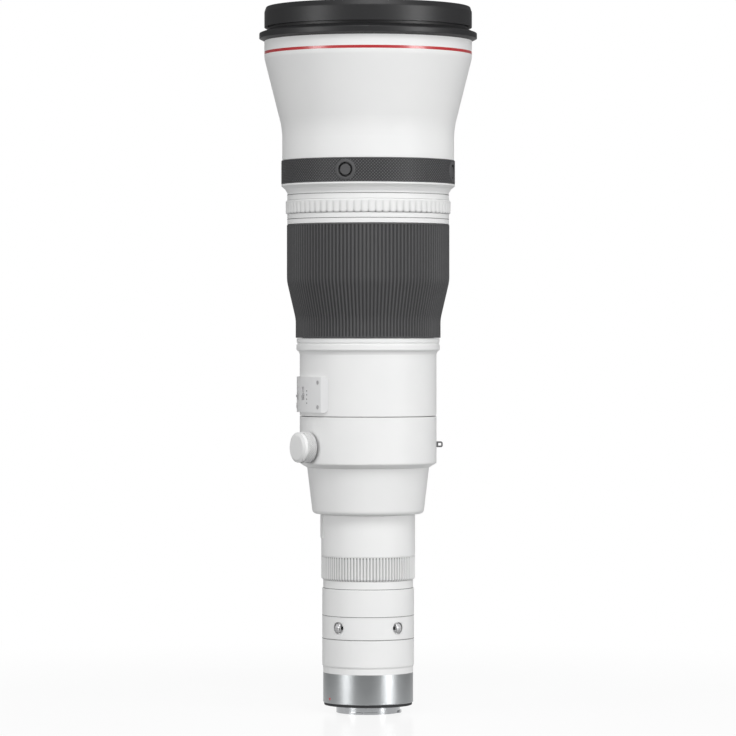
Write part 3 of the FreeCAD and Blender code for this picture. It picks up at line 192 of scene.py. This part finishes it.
def put_grid(name, grid, finish, body, replaced=(), wrap=(True, True), sharp=32.0, groove_shade=None):
    """Piece whose vertices are a grid of points in millimetres; each cell becomes a face, and a wrapped direction joins
    its last line to its first. Points that fall together at a pole are merged, open ends get a face, and a shell that
    came out with its inside outwards, shown by a negative volume, is turned. An optional grid of painted shade, from 0
    to 1 for each point, darkens the finish where the point lies in a groove or a hollow."""
    rows, columns = grid.shape[:2]
    index = np.arange(rows * columns).reshape(rows, columns)
    if wrap[0]:
        index = np.vstack([index, index[:1]])
    if wrap[1]:
        index = np.hstack([index, index[:, :1]])
    faces = np.stack([index[:-1, :-1], index[:-1, 1:], index[1:, 1:], index[1:, :-1]], axis=-1).reshape(-1, 4)
    mesh = bpy.data.meshes.new(name)
    mesh.from_pydata((grid * 0.001).reshape(-1, 3), [], faces.tolist())
    # The painted shade is stored on the points for the finish to read.
    if groove_shade is not None:
        layer = mesh.attributes.new("groove_shade", "FLOAT", "POINT")
        layer.data.foreach_set("value", np.broadcast_to(groove_shade, (rows, columns)).astype(np.float32).ravel())
    work = bmesh.new()
    work.from_mesh(mesh)
    bmesh.ops.remove_doubles(work, verts=work.verts, dist=1e-7)
    open_edges = [edge for edge in work.edges if edge.is_boundary]
    if open_edges:
        bmesh.ops.holes_fill(work, edges=open_edges)
    if work.calc_volume(signed=True) < 0:
        bmesh.ops.reverse_faces(work, faces=work.faces)
    work.to_mesh(mesh)
    work.free()
    mesh.polygons.foreach_set("use_smooth", np.ones(len(mesh.polygons), bool))
    mesh.set_sharp_from_angle(angle=math.radians(sharp))
    mesh.materials.append(finish.material)
    piece = bpy.data.objects.new(name, mesh)
    bpy.context.scene.collection.objects.link(piece)
    weighted = piece.modifiers.new("even_shading", "WEIGHTED_NORMAL")
    weighted.keep_sharp = True
    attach(piece, body)
    if replaced:
        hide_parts(*replaced)
    return piece


def dome(radius, rise, count=5):
    """Profile of a low dome on a disc that is sunk into the surface: (distance from its centre, height)."""
    sunk = 0.3
    angle = np.linspace(0, math.pi / 2, count)
    top = np.stack([radius * np.cos(angle), rise * np.sin(angle)], axis=-1)
    return np.vstack([[[0, -sunk], [radius, -sunk]], top])


def laid_round(distance, rise, azimuth, height, radius):
    """Form about a line that leaves the lens's axis at an azimuth, laid on a cylinder round that axis. Column by
    column the line is gone round once; distance is measured from it, and rise from the cylinder."""
    turn = np.arange(distance.shape[1]) * 2 * math.pi / distance.shape[1]
    outward, _ = around(azimuth + np.degrees(distance * np.cos(turn) / radius))
    grid = outward * (radius + rise)[..., None]
    grid[..., 2] = height + distance * np.sin(turn)
    return grid


def put_round(name, profile, azimuth, height, radius, finish, body, count=48, wrap=(True, True)):
    """Round form on a cylinder, from a profile of (distance from its centre, rise over the cylinder)."""
    spread = np.ones((1, count))
    grid = laid_round(profile[:, :1] * spread, profile[:, 1:] * spread, azimuth, height, radius)
    put_grid(name, grid, finish, body, wrap=wrap)


enamel = Finish("index_enamel", Coat_Weight=0.7, Coat_Roughness=0.2)
enamel.set(
    Base_Color=enamel.wire.mix(enamel.noise(900.0), (0.42, 0.02, 0.025, 1), (0.55, 0.03, 0.035, 1)),
    Roughness=0.25 + 0.15 * enamel.noise(2000.0))
put_round("index_dot", dome(1.1, 0.25), -58.0, 5.0, 34.7, enamel, "barrel", wrap=(False, True))


# Filter housing: a painted magnesium shell, with the drop-in filter drawer in front. Two sprung metal catches in round
# recesses hold the drawer. The paint is white, matt and very finely textured.
housing_radius, drawer_middle = 35.4, 59.85
white_dark, white_pale = (0.76, 0.765, 0.765, 1), (0.83, 0.83, 0.825, 1)
paint = moulded("white_paint", white_dark, white_pale, 0.38, 0.52, 1500.0, 0.00003, shine=0.22)
dress(paint, "filter_housing", "filter_drawer")
# Copy of the white paint whose dark colour is painted shade on the recess walls.
recess_shade_paint = moulded("recess_shade_paint", white_dark, white_pale, 0.38, 0.52, 1500.0, 0.00003,
                       groove_shade=(0.10, 0.10, 0.10, 1), shine=0.22)
# The catches' dark groove colour is painted shade in the lug's grooves.
catch_metal = moulded("catch_metal", (0.66, 0.66, 0.67, 1), (0.78, 0.78, 0.79, 1), 0.26, 0.36, 3000.0, 0.00002,
                      groove_shade=(0.08, 0.08, 0.08, 1), shine=0.9)
catch_metal.shader.inputs["Metallic"].default_value = 0.35
dress(catch_metal, "left_catch", "right_catch")


def put_recess(name, azimuth, side):
    """Fills the four corners of a catch's window and leaves a round recess: from the window's edge, at the lesser of
    half its width over |cos| and half its height over |sin|, the filling reaches in to the circle. Its wall carries
    painted shade at the top and at the side away from the middle of the lens."""
    half_width, half_height, reach, depth, thinnest, count = 4.88, 4.58, 4.8, 2.4, 0.03, 96
    turn = np.arange(count) * 2 * math.pi / count
    edge = np.minimum(half_width / np.maximum(np.abs(np.cos(turn)), 1e-6),
                      half_height / np.maximum(np.abs(np.sin(turn)), 1e-6))
    circle = np.minimum(reach, edge - thinnest)
    rise = np.repeat(np.array([-depth, 0.0, 0.0, -depth])[:, None], len(turn), axis=1)
    grid = laid_round(np.stack([edge, edge, circle, circle]), rise, azimuth, drawer_middle, housing_radius)
    # Painted shade on the recess wall, strongest at the top and on the side away from the middle.
    shade = np.array([[0.0], [0.0], [0.35], [1.0]]) * np.clip(
        0.25 + 0.7 * np.sin(turn) + 0.6 * side * np.cos(turn), 0, 1)
    put_grid(name, grid, recess_shade_paint, "filter_drawer", groove_shade=shade)


def put_lug(name, azimuth, body):
    """Cushion-shaped lug: its rise over the housing is 2.2 sqrt((1 - (x / 3)^4)(1 - (z / 3.7)^2)) - 1.3, and x shrinks
    by 0.3 (z / 3.5)^2 of itself. Its lower part has four shallow grooves along the lens, darkened with painted shade."""
    half_width, half_height, pitch = 2.8, 3.5, 1.4
    across, up = np.meshgrid(np.linspace(-half_width, half_width, 33), np.linspace(-half_height, half_height, 25))
    rise = 2.2 * np.sqrt(np.clip((1 - (across / 3) ** 4) * (1 - (up / 3.7) ** 2), 0, 1)) - 1.3
    lines = (0.5 - 0.5 * np.cos(across * 2 * math.pi / pitch)) * np.clip((0.6 - up) / 0.6, 0, 1)
    across *= 1 - 0.3 * (up / half_height) ** 2
    outward, _ = around(azimuth + np.degrees(across / housing_radius))
    grid = outward * (housing_radius + rise - 0.15 * lines)[..., None]
    grid[..., 2] = drawer_middle + up
    put_grid(name, grid, catch_metal, body, [body], wrap=(False, False), groove_shade=0.9 * lines)


put_recess("left_recess", -40.0, -1)
put_recess("right_recess", 40.0, 1)
put_lug("left_lug", -41.2, "left_catch")
put_lug("right_lug", 41.2, "right_catch")


# Control ring: a white moulded ring with ninety fine teeth, whose gaps are darkened with painted shade. Above it
# stand the painted rear tube with its low pad, and the rear cone.
def rounded(corners, turn=9.0):
    """Closed line through corners (radius, height, rounding): a rounded corner becomes an arc tangent to its two sides.
    The arc's tangents are rounding / tan(half the corner's angle) long, at most 0.45 of the shorter side."""
    points = [np.array(corner[:2], float) for corner in corners]
    line = []
    for index, point in enumerate(points):
        rounding = corners[index][2] if len(corners[index]) > 2 else 0
        before = points[index - 1] - point
        after = points[(index + 1) % len(points)] - point
        lengths = np.linalg.norm(before), np.linalg.norm(after)
        if not rounding:
            line.append(point)
            continue
        before, after = before / lengths[0], after / lengths[1]
        half = math.acos(np.clip(before @ after, -1, 1)) / 2
        along = min(rounding / math.tan(half), 0.45 * min(lengths))
        middle = (before + after) / np.linalg.norm(before + after)
        radius = along * math.tan(half)
        centre = point + middle * radius / math.sin(half)
        start, end = point + before * along - centre, point + after * along - centre
        steps = max(2, math.ceil((180 - 2 * math.degrees(half)) / turn))
        share = np.linspace(0, 1, steps + 1)[:, None]
        angle = math.pi - 2 * half
        arc = (np.sin((1 - share) * angle) * start + np.sin(share * angle) * end) / math.sin(angle)
        line.extend(centre + arc)
    return np.array(line)


def crossed(line, levels):
    """The closed line with further points where it passes the given heights."""
    points = []
    for index, start in enumerate(line):
        end = line[(index + 1) % len(line)]
        points.append(start)
        low, high = sorted((start[1], end[1]))
        passed = [level for level in levels if low + 1e-4 < level < high - 1e-4]
        for level in sorted(passed, reverse=bool(start[1] > end[1])):
            points.append(start + (end - start) * (level - start[1]) / (end[1] - start[1]))
    return np.array(points)


def put_ribbed(name, line, depth, wave, ribs, shade, finish, body, replaced, sharp=40.0):
    """Closed line turned about the axis, with ribs: the radius drops by the depth at that point of the line times the
    wave at that place of the rib, and painted shade darkens the groove by shade times wave."""
    azimuth = np.arange(ribs * len(wave)) * 360 / (ribs * len(wave))
    outward, _ = around(azimuth)
    drop = np.tile(np.array(wave), ribs)
    reach = line[:, :1] - depth[:, None] * drop
    grid = outward[None] * reach[..., None]
    grid[..., 2] = line[:, 1:]
    put_grid(name, grid, finish, body, replaced, sharp=sharp, groove_shade=shade[:, None] * drop)


# Its dark groove colour is painted shade for the gaps between teeth, lobes and knurls.
white_plastic = moulded(
    "white_plastic", (0.74, 0.745, 0.745, 1), (0.81, 0.81, 0.805, 1), 0.42, 0.55, 2200.0, 0.00003,
    groove_shade=(0.16, 0.16, 0.16, 1), shine=0.22)
dress(white_plastic, "control_ring")
control_line = crossed(rounded([
    (34.15, 95.85), (34.75, 95.85), (36.2, 97.25, 0.8), (36.2, 114.35), (36.05, 114.5), (34.15, 114.5)]),
    [97.25, 112.5, 113.7, 114.1])
control_outside = control_line[:, 0] > 34.5
control_depth = control_outside * np.interp(control_line[:, 1], [95.85, 97.25, 113.7, 114.1], [0.3, 0.7, 0.7, 0.0])
control_shade = control_outside * np.interp(
    control_line[:, 1], [95.85, 97.25, 112.5, 113.7, 114.1], [0.5, 0.45, 0.5, 0.9, 0.0])
put_ribbed("toothed_ring", control_line, control_depth, [0, 0, 0.5, 1, 1, 1, 0.5, 0], 90, control_shade, white_plastic,
           "control_ring", ["control_ring"])
dress(paint, "rear_tube", "rear_cone")


# Tripod collar: a painted ring that turns round the barrel, with its cast foot, strap lugs and lock knob.
dress(paint, "collar_ring", "tripod_foot")
dress(steel, "strap_lugs")


# Lock knob: moulded white body with a diamond grip, a groove, and a flat bevelled cap. It screws down on the collar.
def diamonds(across, along):
    """How deep a point lies in two crossing sets of slanting grooves, which run where across + along and across - along
    are whole numbers: 1 in a groove, 0 on a flat top from 0.3 of the spacing on."""
    first, second = across + along, across - along
    near = np.minimum(np.abs(first - np.round(first)), np.abs(second - np.round(second)))
    return 1 - np.minimum(near / 0.3, 1)


def put_knob():
    """Profile of (radius, distance from the lens's axis), turned about the line at azimuth -57; on the gripped rows the
    radius drops in the grooves of the diamonds, and the three rows of the foot stand back; both take painted shade."""
    azimuth, height, radius, pitches, samples, tall = -57.0, 198.4, 11.75, 42, 6, 1.76
    foot_rows, grip_middle, groove_depth = 3, 57.4, 0.5
    side = np.linspace(54.1, 60.7, 24)
    profile = np.vstack([
        [[7.3, 53.15], [radius - 0.6, 53.15], [radius - 0.15, 53.5]],
        np.stack([np.full(len(side), radius), side], axis=-1),
        [[radius - 0.15, 61.1], [radius - 0.5, 61.2], [11.05, 61.2], [11.05, 61.9], [11.35, 61.9], [11.55, 62.05],
         [11.55, 63.9], [11.45, 64.15], [9.4, 65.38], [9.1, 65.5], [0, 65.5], [0, 58.0], [3.05, 58.0], [3.05, 55.3],
         [7.3, 55.3]]])
    count = pitches * samples
    deep = np.zeros((len(profile), count))
    # The foot's rows also carry painted shade where the knob meets the collar.
    deep[:foot_rows] = 1.3
    deep[foot_rows:foot_rows + len(side)] = diamonds(
        np.arange(count) / samples, (side[:, None] - grip_middle) / tall)
    turn = np.arange(count) * 2 * math.pi / count
    reach = profile[:, :1] - groove_depth * deep
    outward, along = around(azimuth)
    grid = outward * np.broadcast_to(profile[:, 1:, None], (len(profile), count, 1)) + along * (
        reach * np.cos(turn))[..., None]
    grid[..., 2] += height + reach * np.sin(turn)
    put_grid("knurled_knob", grid, white_plastic, "lock_knob", ["lock_knob"], sharp=25.0,
             groove_shade=0.7 * deep)


put_knob()


# Main barrel with the switch panel: a curved plate in pale plastic a little greyer than the paint, with three slide
# switches, a button and its screws in a darker grey. Four plain ticks are printed beside the switches.
dress(paint, "main_barrel", "focus_end_ring", "main_tube", "band_collar")
panel_plastic = moulded("panel_plastic", (0.70, 0.705, 0.71, 1), (0.77, 0.77, 0.77, 1), 0.42, 0.55, 2200.0, 0.00003,
                        shine=0.3)
switch_plastic = moulded("switch_plastic", (0.42, 0.42, 0.43, 1), (0.52, 0.52, 0.52, 1), 0.4, 0.55, 3000.0, 0.00003)
index_ink = moulded("index_ink", (0.03, 0.03, 0.03, 1), (0.06, 0.06, 0.06, 1), 0.5, 0.6, 3000.0, 0.00002)
dress(panel_plastic, "switch_panel")
dress(switch_plastic, "focus_mode_switch", "range_switch", "stabiliser_switch", "preset_button", "panel_screws")
for number, height in enumerate((241.6, 238.6, 235.2, 232.2), start=1):
    put_round("index_tick_%d" % number, dome(0.55, 0.05), -58.5, height, 55.05, index_ink, "barrel",
              count=16, wrap=(False, True))


# Focus grip: a moulded rubber sleeve with 132 ribs along the lens, between two smooth rims, on an aluminium sleeve.
# The grip rubber's near-black groove colour is painted shade between the ribs.
grip_rubber = moulded("grip_rubber", (0.086, 0.086, 0.088, 1), (0.104, 0.104, 0.106, 1), 0.42, 0.52, 2500.0, 0.00004,
                      groove_shade=(0.010, 0.010, 0.011, 1), shine=0.12)
grip_low, cone_low, cone_high, grip_high = 282.05, 296.55, 325.85, 369.15
rib_ends = [282.7, 283.3, 367.9, 368.5]
grip_line = crossed(rounded([
    (54.3, grip_low), (55.9, grip_low, 0.5), (55.9, cone_low, 30.0), (62.7, cone_high, 30.0), (62.7, grip_high, 0.5),
    (61.1, grip_high), (61.1, cone_high, 30.0), (54.3, cone_low, 30.0)], turn=3.0), rib_ends)
grip_outside = grip_line[:, 0] > np.interp(
    grip_line[:, 1], [grip_low, cone_low, cone_high, grip_high], [55.1, 55.1, 61.9, 61.9])
grip_ribbed = grip_outside * np.interp(grip_line[:, 1], rib_ends, [0.0, 1.0, 1.0, 0.0])
put_ribbed("ribbed_grip", grip_line, 0.75 * grip_ribbed, [0, 0.15, 0.85, 1, 0.85, 0.15], 132, 0.6 * grip_ribbed,
           grip_rubber, "focus_ring", ["focus_grip"])
inner_metal = turned_metal("inner_metal", (0.03, 0.03, 0.032, 1), (0.06, 0.06, 0.062, 1), 0.4, 0.55, 2500.0)
dress(inner_metal, "focus_sleeve")


# Playback ring: a white moulded ring of seventy-two smooth lobes, with a thin groove between each two that ends in a
# small notch below; grooves and notches are darkened with painted shade.
dress(white_plastic, "playback_ring")
lobed_line = crossed(rounded([(60.9, 377.45), (63.6, 377.45, 1.6), (63.6, 387.8, 2.2), (60.9, 387.8)]),
                     [377.7, 378.3, 379.4, 384.4, 386.6])
lobed_outside = lobed_line[:, 0] > 62.0
lobed_depth = lobed_outside * np.interp(
    lobed_line[:, 1], [377.45, 377.9, 379.4, 384.4, 386.6], [0.8, 1.2, 0.9, 0.6, 0.0])
lobed_shade = lobed_outside * np.interp(
    lobed_line[:, 1], [377.45, 377.7, 378.3, 379.4, 384.4, 386.6], [0.9, 0.8, 0.5, 0.22, 0.18, 0.0])
put_ribbed("lobed_ring", lobed_line, lobed_depth, [1, 0.6, 0.28, 0.12, 0.04, 0, 0, 0.04, 0.12, 0.28, 0.6], 72,
           lobed_shade, white_plastic, "playback_ring", ["playback_ring"])


# Button band: black rubber with a fine diamond knurl and four wells, each with a raised bezel and a round button.
band_radius, band_middle, button_azimuths = 67.0, 409.5, (-15.0, 75.0, 165.0, 255.0)
# The band rubber's near-black groove colour is painted shade in the knurl's grooves.
band_rubber = moulded("band_rubber", (0.100, 0.100, 0.103, 1), (0.122, 0.122, 0.125, 1), 0.40, 0.50, 2500.0, 0.00004,
                      groove_shade=(0.010, 0.010, 0.011, 1), shine=0.25)


def put_band():
    """The knurl repeats 172 times round the band. Round each button the rubber is smooth, and under the bezel it
    drops into the well."""
    low, high, inner, radius, pitches, samples, tall = 400.25, 418.75, 62.0, band_radius, 172, 6, 2.45
    well, smooth, rim_rows = 6.2, 7.8, 4
    well_depth, smooth_depth, knurl_depth = 3.0, 0.3, 0.4
    levels = np.linspace(low + 0.7, high - 0.7, 43)
    profile = np.vstack([
        [[inner, low], [radius - 0.6, low], [radius - 0.17, low + 0.17], [radius, low + 0.6]],
        np.stack([np.full(len(levels), radius), levels], axis=-1),
        [[radius, high - 0.6], [radius - 0.17, high - 0.17], [radius - 0.6, high], [inner, high]]])
    count = pitches * samples
    azimuth = np.arange(count) * 360 / count
    deep = diamonds(np.arange(count) / samples, (levels[:, None] - band_middle) / tall)
    drop = knurl_depth * deep
    for place in button_azimuths:
        across = np.radians((azimuth - place + 180) % 360 - 180) * radius
        away = np.hypot(across, levels[:, None] - band_middle)
        drop = np.where(away < well, well_depth, np.where(away < smooth, smooth_depth, drop))
        deep = np.where(away < smooth, 0.0, deep)
    whole_drop, whole_deep = np.zeros((2, len(profile), count))
    whole_drop[rim_rows:rim_rows + len(levels)] = drop
    whole_deep[rim_rows:rim_rows + len(levels)] = deep
    outward, _ = around(azimuth)
    grid = outward[None] * (profile[:, :1] - whole_drop)[..., None]
    grid[..., 2] = profile[:, 1:]
    put_grid("knurled_band", grid, band_rubber, "barrel", ["button_band"], sharp=30.0,
             groove_shade=whole_deep)


put_band()
bezel = rounded([(5.65, -3.0), (5.65, 0.5, 0.2), (6.7, 0.5, 0.3), (8.0, 0.0), (8.0, -0.6), (6.4, -3.0)], turn=20.0)
for number, azimuth in enumerate(button_azimuths, start=1):
    put_round("bezel_%d" % number, bezel, azimuth, band_middle, band_radius, grip_rubber, "barrel",
              count=64)
dress(grip_rubber, *["focus_stop_button_%d" % number for number in (1, 2, 3, 4)])


# Front barrel: the painted cone that opens out to the front, with the red enamelled ring in its groove.
dress(paint, "front_barrel")
dress(enamel, "red_ring")


# Black front: anodised flange and hood seat.
black_metal = moulded("black_metal", (0.017, 0.017, 0.018, 1), (0.025, 0.025, 0.026, 1), 0.40, 0.50, 2500.0, 0.00002,
                      shine=0.48)
dress(black_metal, "front_flange", "front_ring", "front_cell", "front_retaining_ring")


# Glass: coated lenses, with a thin film that tints their reflections.
glass = Finish("coated_glass", Transmission_Weight=1.0, IOR=1.6, Thin_Film_Thickness=420.0, Thin_Film_IOR=1.38)
dust = glass.noise(400.0, 4.0)
glass.set(
    Base_Color=glass.wire.mix(dust, (0.93, 0.96, 0.95, 1), (0.97, 0.98, 0.99, 1)),
    Roughness=0.01 + 0.02 * dust)
dress(glass, "front_element", "front_group_lenses", "focus_lens", "relay_lenses", "stabiliser_lens", "rear_lens",
      "filter_glass")


# Inside: black anodised cells, the motor's rings, the stabiliser, the closed iris unit and the circuit board.
dress(inner_metal, "front_group_cell", "relay_cell", "iris_unit", "focus_cell", "stabiliser_base",
      "stabiliser_guide", "stabiliser_cell")
motor_metal = turned_metal("motor_metal", (0.30, 0.29, 0.27, 1), (0.50, 0.48, 0.45, 1), 0.3, 0.45, 3000.0)
dress(motor_metal, "focus_stator", "focus_rotor")
board = moulded("circuit_board", (0.01, 0.06, 0.03, 1), (0.02, 0.10, 0.05, 1), 0.35, 0.5, 1200.0, 0.00005)
dress(board, "circuit_board")


# Seams: thin grey rings of painted shade in the gaps where two painted parts meet, round the necks at both sides of
# the playback ring, at the foot of the housing's neck, and round the housing above and below the drawer. The red
# enamel line is a thin ring of the same shape, in its own colour.
neck_radius = 62.4
# Grey that stands for the shade in the gaps, painted on thin rings.
gap_shade = moulded("seam_shade", (0.16, 0.16, 0.16, 1), (0.22, 0.22, 0.22, 1), 0.6, 0.8, 3000.0, 0.00002)


def put_line(name, radius, height, tall, finish, replaced=()):
    """Thin ring whose outer face lies just in front of the paint."""
    inner, outer, half, count = radius - 0.3, radius + 0.02, tall / 2, 256
    outward, _ = around(np.arange(count) * 360 / count)
    line = np.array([[inner, -half], [outer, -half], [outer, half], [inner, half]])
    grid = outward[None] * line[:, 0, None, None]
    grid[..., 2] = height + line[:, 1:]
    put_grid(name, grid, finish, "barrel", replaced)


put_line("seam_collar", neck_radius, 392.05, 0.4, gap_shade)
put_line("seam_neck", neck_radius, 373.35, 0.4, gap_shade)
put_line("seam_housing", 34.7, 89.65, 0.5, gap_shade)
put_line("seam_drawer_top", housing_radius, 68.7, 0.36, gap_shade)
put_line("seam_drawer_low", housing_radius, 50.95, 0.46, gap_shade)
put_line("red_line", 80.1, 501.35, 2.2, enamel, ["red_ring"])


# Studio, in metres: a pale floor, a lamp at each side and one high in front, and a level camera a little above the
# middle of the lens.
def put_floor():
    """Flat disc under the mount. In the picture's frame, and in mirrors for the part of the floor that the frame holds,
    it is mostly white, with a share of the lit floor that holds the shadow. The rest of the floor, and the light that
    it throws back on the lens, is a darker grey. Behind the lens the frame widens by half_view of the distance."""
    half_view, count, radius, level = 0.093, 96, 30.0, -0.0066
    finish = Finish("floor_white")
    wire = finish.wire
    side = wire.node("SeparateXYZ", {}, {0: finish.place}, output="X")
    back = side.other("Y")
    far = wire.math("SQRT", side * side + back * back).ramp(0.25, 0.75)
    sweep = back.ramp(-0.22, -0.06) * (wire.math("ABSOLUTE", side) - half_view * back).ramp(0.30, 0.16)
    path = wire.node("LightPath", output="Is Camera Ray")
    mirrored = wire.math("MAXIMUM", path.other("Is Glossy Ray"), path.other("Is Transmission Ray"))
    seen = wire.math("MAXIMUM", path, mirrored * sweep)
    finish.set(
        Base_Color=wire.mix(seen, (0.32, 0.32, 0.32, 1), wire.mix(
            finish.noise(3.0), (0.90, 0.90, 0.90, 1), (0.92, 0.92, 0.92, 1))),
        Roughness=0.18 + 0.04 * finish.noise(40.0))
    white = wire.node("Emission", {}, {"Color": (1, 1, 1, 1), "Strength": 1.0})
    shown = wire.node("MixShader", {}, {
        0: seen * (0.85 + 0.15 * far), 1: Wire(wire.tree, finish.shader.outputs[0]), 2: white})
    wire.tree.links.new(shown.socket, wire.tree.nodes["Material Output"].inputs["Surface"])
    mesh = bpy.data.meshes.new("floor")
    turn = np.linspace(0, 2 * math.pi, count + 1)[:-1]
    rim = np.stack([np.cos(turn) * radius, np.sin(turn) * radius, np.full(count, level)], axis=-1)
    mesh.from_pydata(rim, [], [list(range(count))])
    mesh.materials.append(finish.material)
    floor = bpy.data.objects.new("floor", mesh)
    bpy.context.scene.collection.objects.link(floor)


def put_world():
    """White for the camera; a mirror sees a white zone behind the lens and a grey room; the rest is a soft fill that
    comes mainly from the camera's side."""
    world = bpy.data.worlds.new("studio")
    world.use_nodes = True
    bpy.context.scene.world = world
    tree = world.node_tree
    wire = Wire(tree)
    path = wire.node("LightPath", output="Is Camera Ray")
    mirrored = wire.math("MAXIMUM", path.other("Is Glossy Ray"), path.other("Is Transmission Ray"))
    toward = wire.node("SeparateXYZ", {}, {0: wire.node("TexCoord", output="Generated")}, output="Y")
    zone = wire.mix(toward.ramp(0.94, 0.995), (0.17, 0.17, 0.172, 1), (1, 1, 1, 1))
    soft = wire.mix(toward.ramp(-0.5, 0.6), (1, 1, 1, 1), (0.22, 0.22, 0.22, 1))
    dim = wire.node("Background", {}, {0: soft, 1: 0.60})
    room = wire.node("Background", {}, {0: zone, 1: 1.0})
    white = wire.node("Background", {}, {0: (1, 1, 1, 1), 1: 1.0})
    shown = wire.node("MixShader", {}, {
        0: path, 1: wire.node("MixShader", {}, {0: mirrored, 1: dim, 2: room}), 2: white})
    tree.links.new(shown.socket, tree.nodes["World Output"].inputs["Surface"])


def put_lamp(name, azimuth, height, distance, width, tall, power):
    """Soft box that faces the middle of the lens from an azimuth."""
    middle = Vector((0, 0, 0.26))
    lamp = bpy.data.lights.new(name, "AREA")
    lamp.shape = "RECTANGLE"
    lamp.size = width
    lamp.size_y = tall
    lamp.energy = power
    box = bpy.data.objects.new(name, lamp)
    outward, _ = around(azimuth)
    place = Vector(outward * distance)
    place.z = height
    box.location = place
    box.rotation_euler = (middle - place).to_track_quat("-Z", "Y").to_euler()
    bpy.context.scene.collection.objects.link(box)


def put_camera():
    """Level camera at a height; its frame is moved down until its middle, at the lens's axis, lies at middle."""
    camera = bpy.data.cameras.new("camera")
    distance, shown, height, middle = 3.06, 0.5680, 0.286, 0.2588
    camera.sensor_width = 36.0
    camera.lens = 36.0 * distance / shown
    camera.shift_y = (middle - height) / shown
    camera.clip_end = 100.0
    holder = bpy.data.objects.new("camera", camera)
    holder.location = (-0.0001, -distance, height)
    holder.rotation_euler = (math.pi / 2, 0, 0)
    bpy.context.scene.collection.objects.link(holder)
    bpy.context.scene.camera = holder


put_floor()
put_world()
put_lamp("key", 54.0, 0.40, 2.4, 0.7, 0.76, 25.0)
put_lamp("fill", -57.0, 0.40, 2.4, 0.7, 0.76, 17.2)
put_lamp("front", 8.0, 3.4, 2.6, 2.4, 1.6, 68.5)
put_camera()
bpy.context.scene.view_settings.view_transform = "Standard"
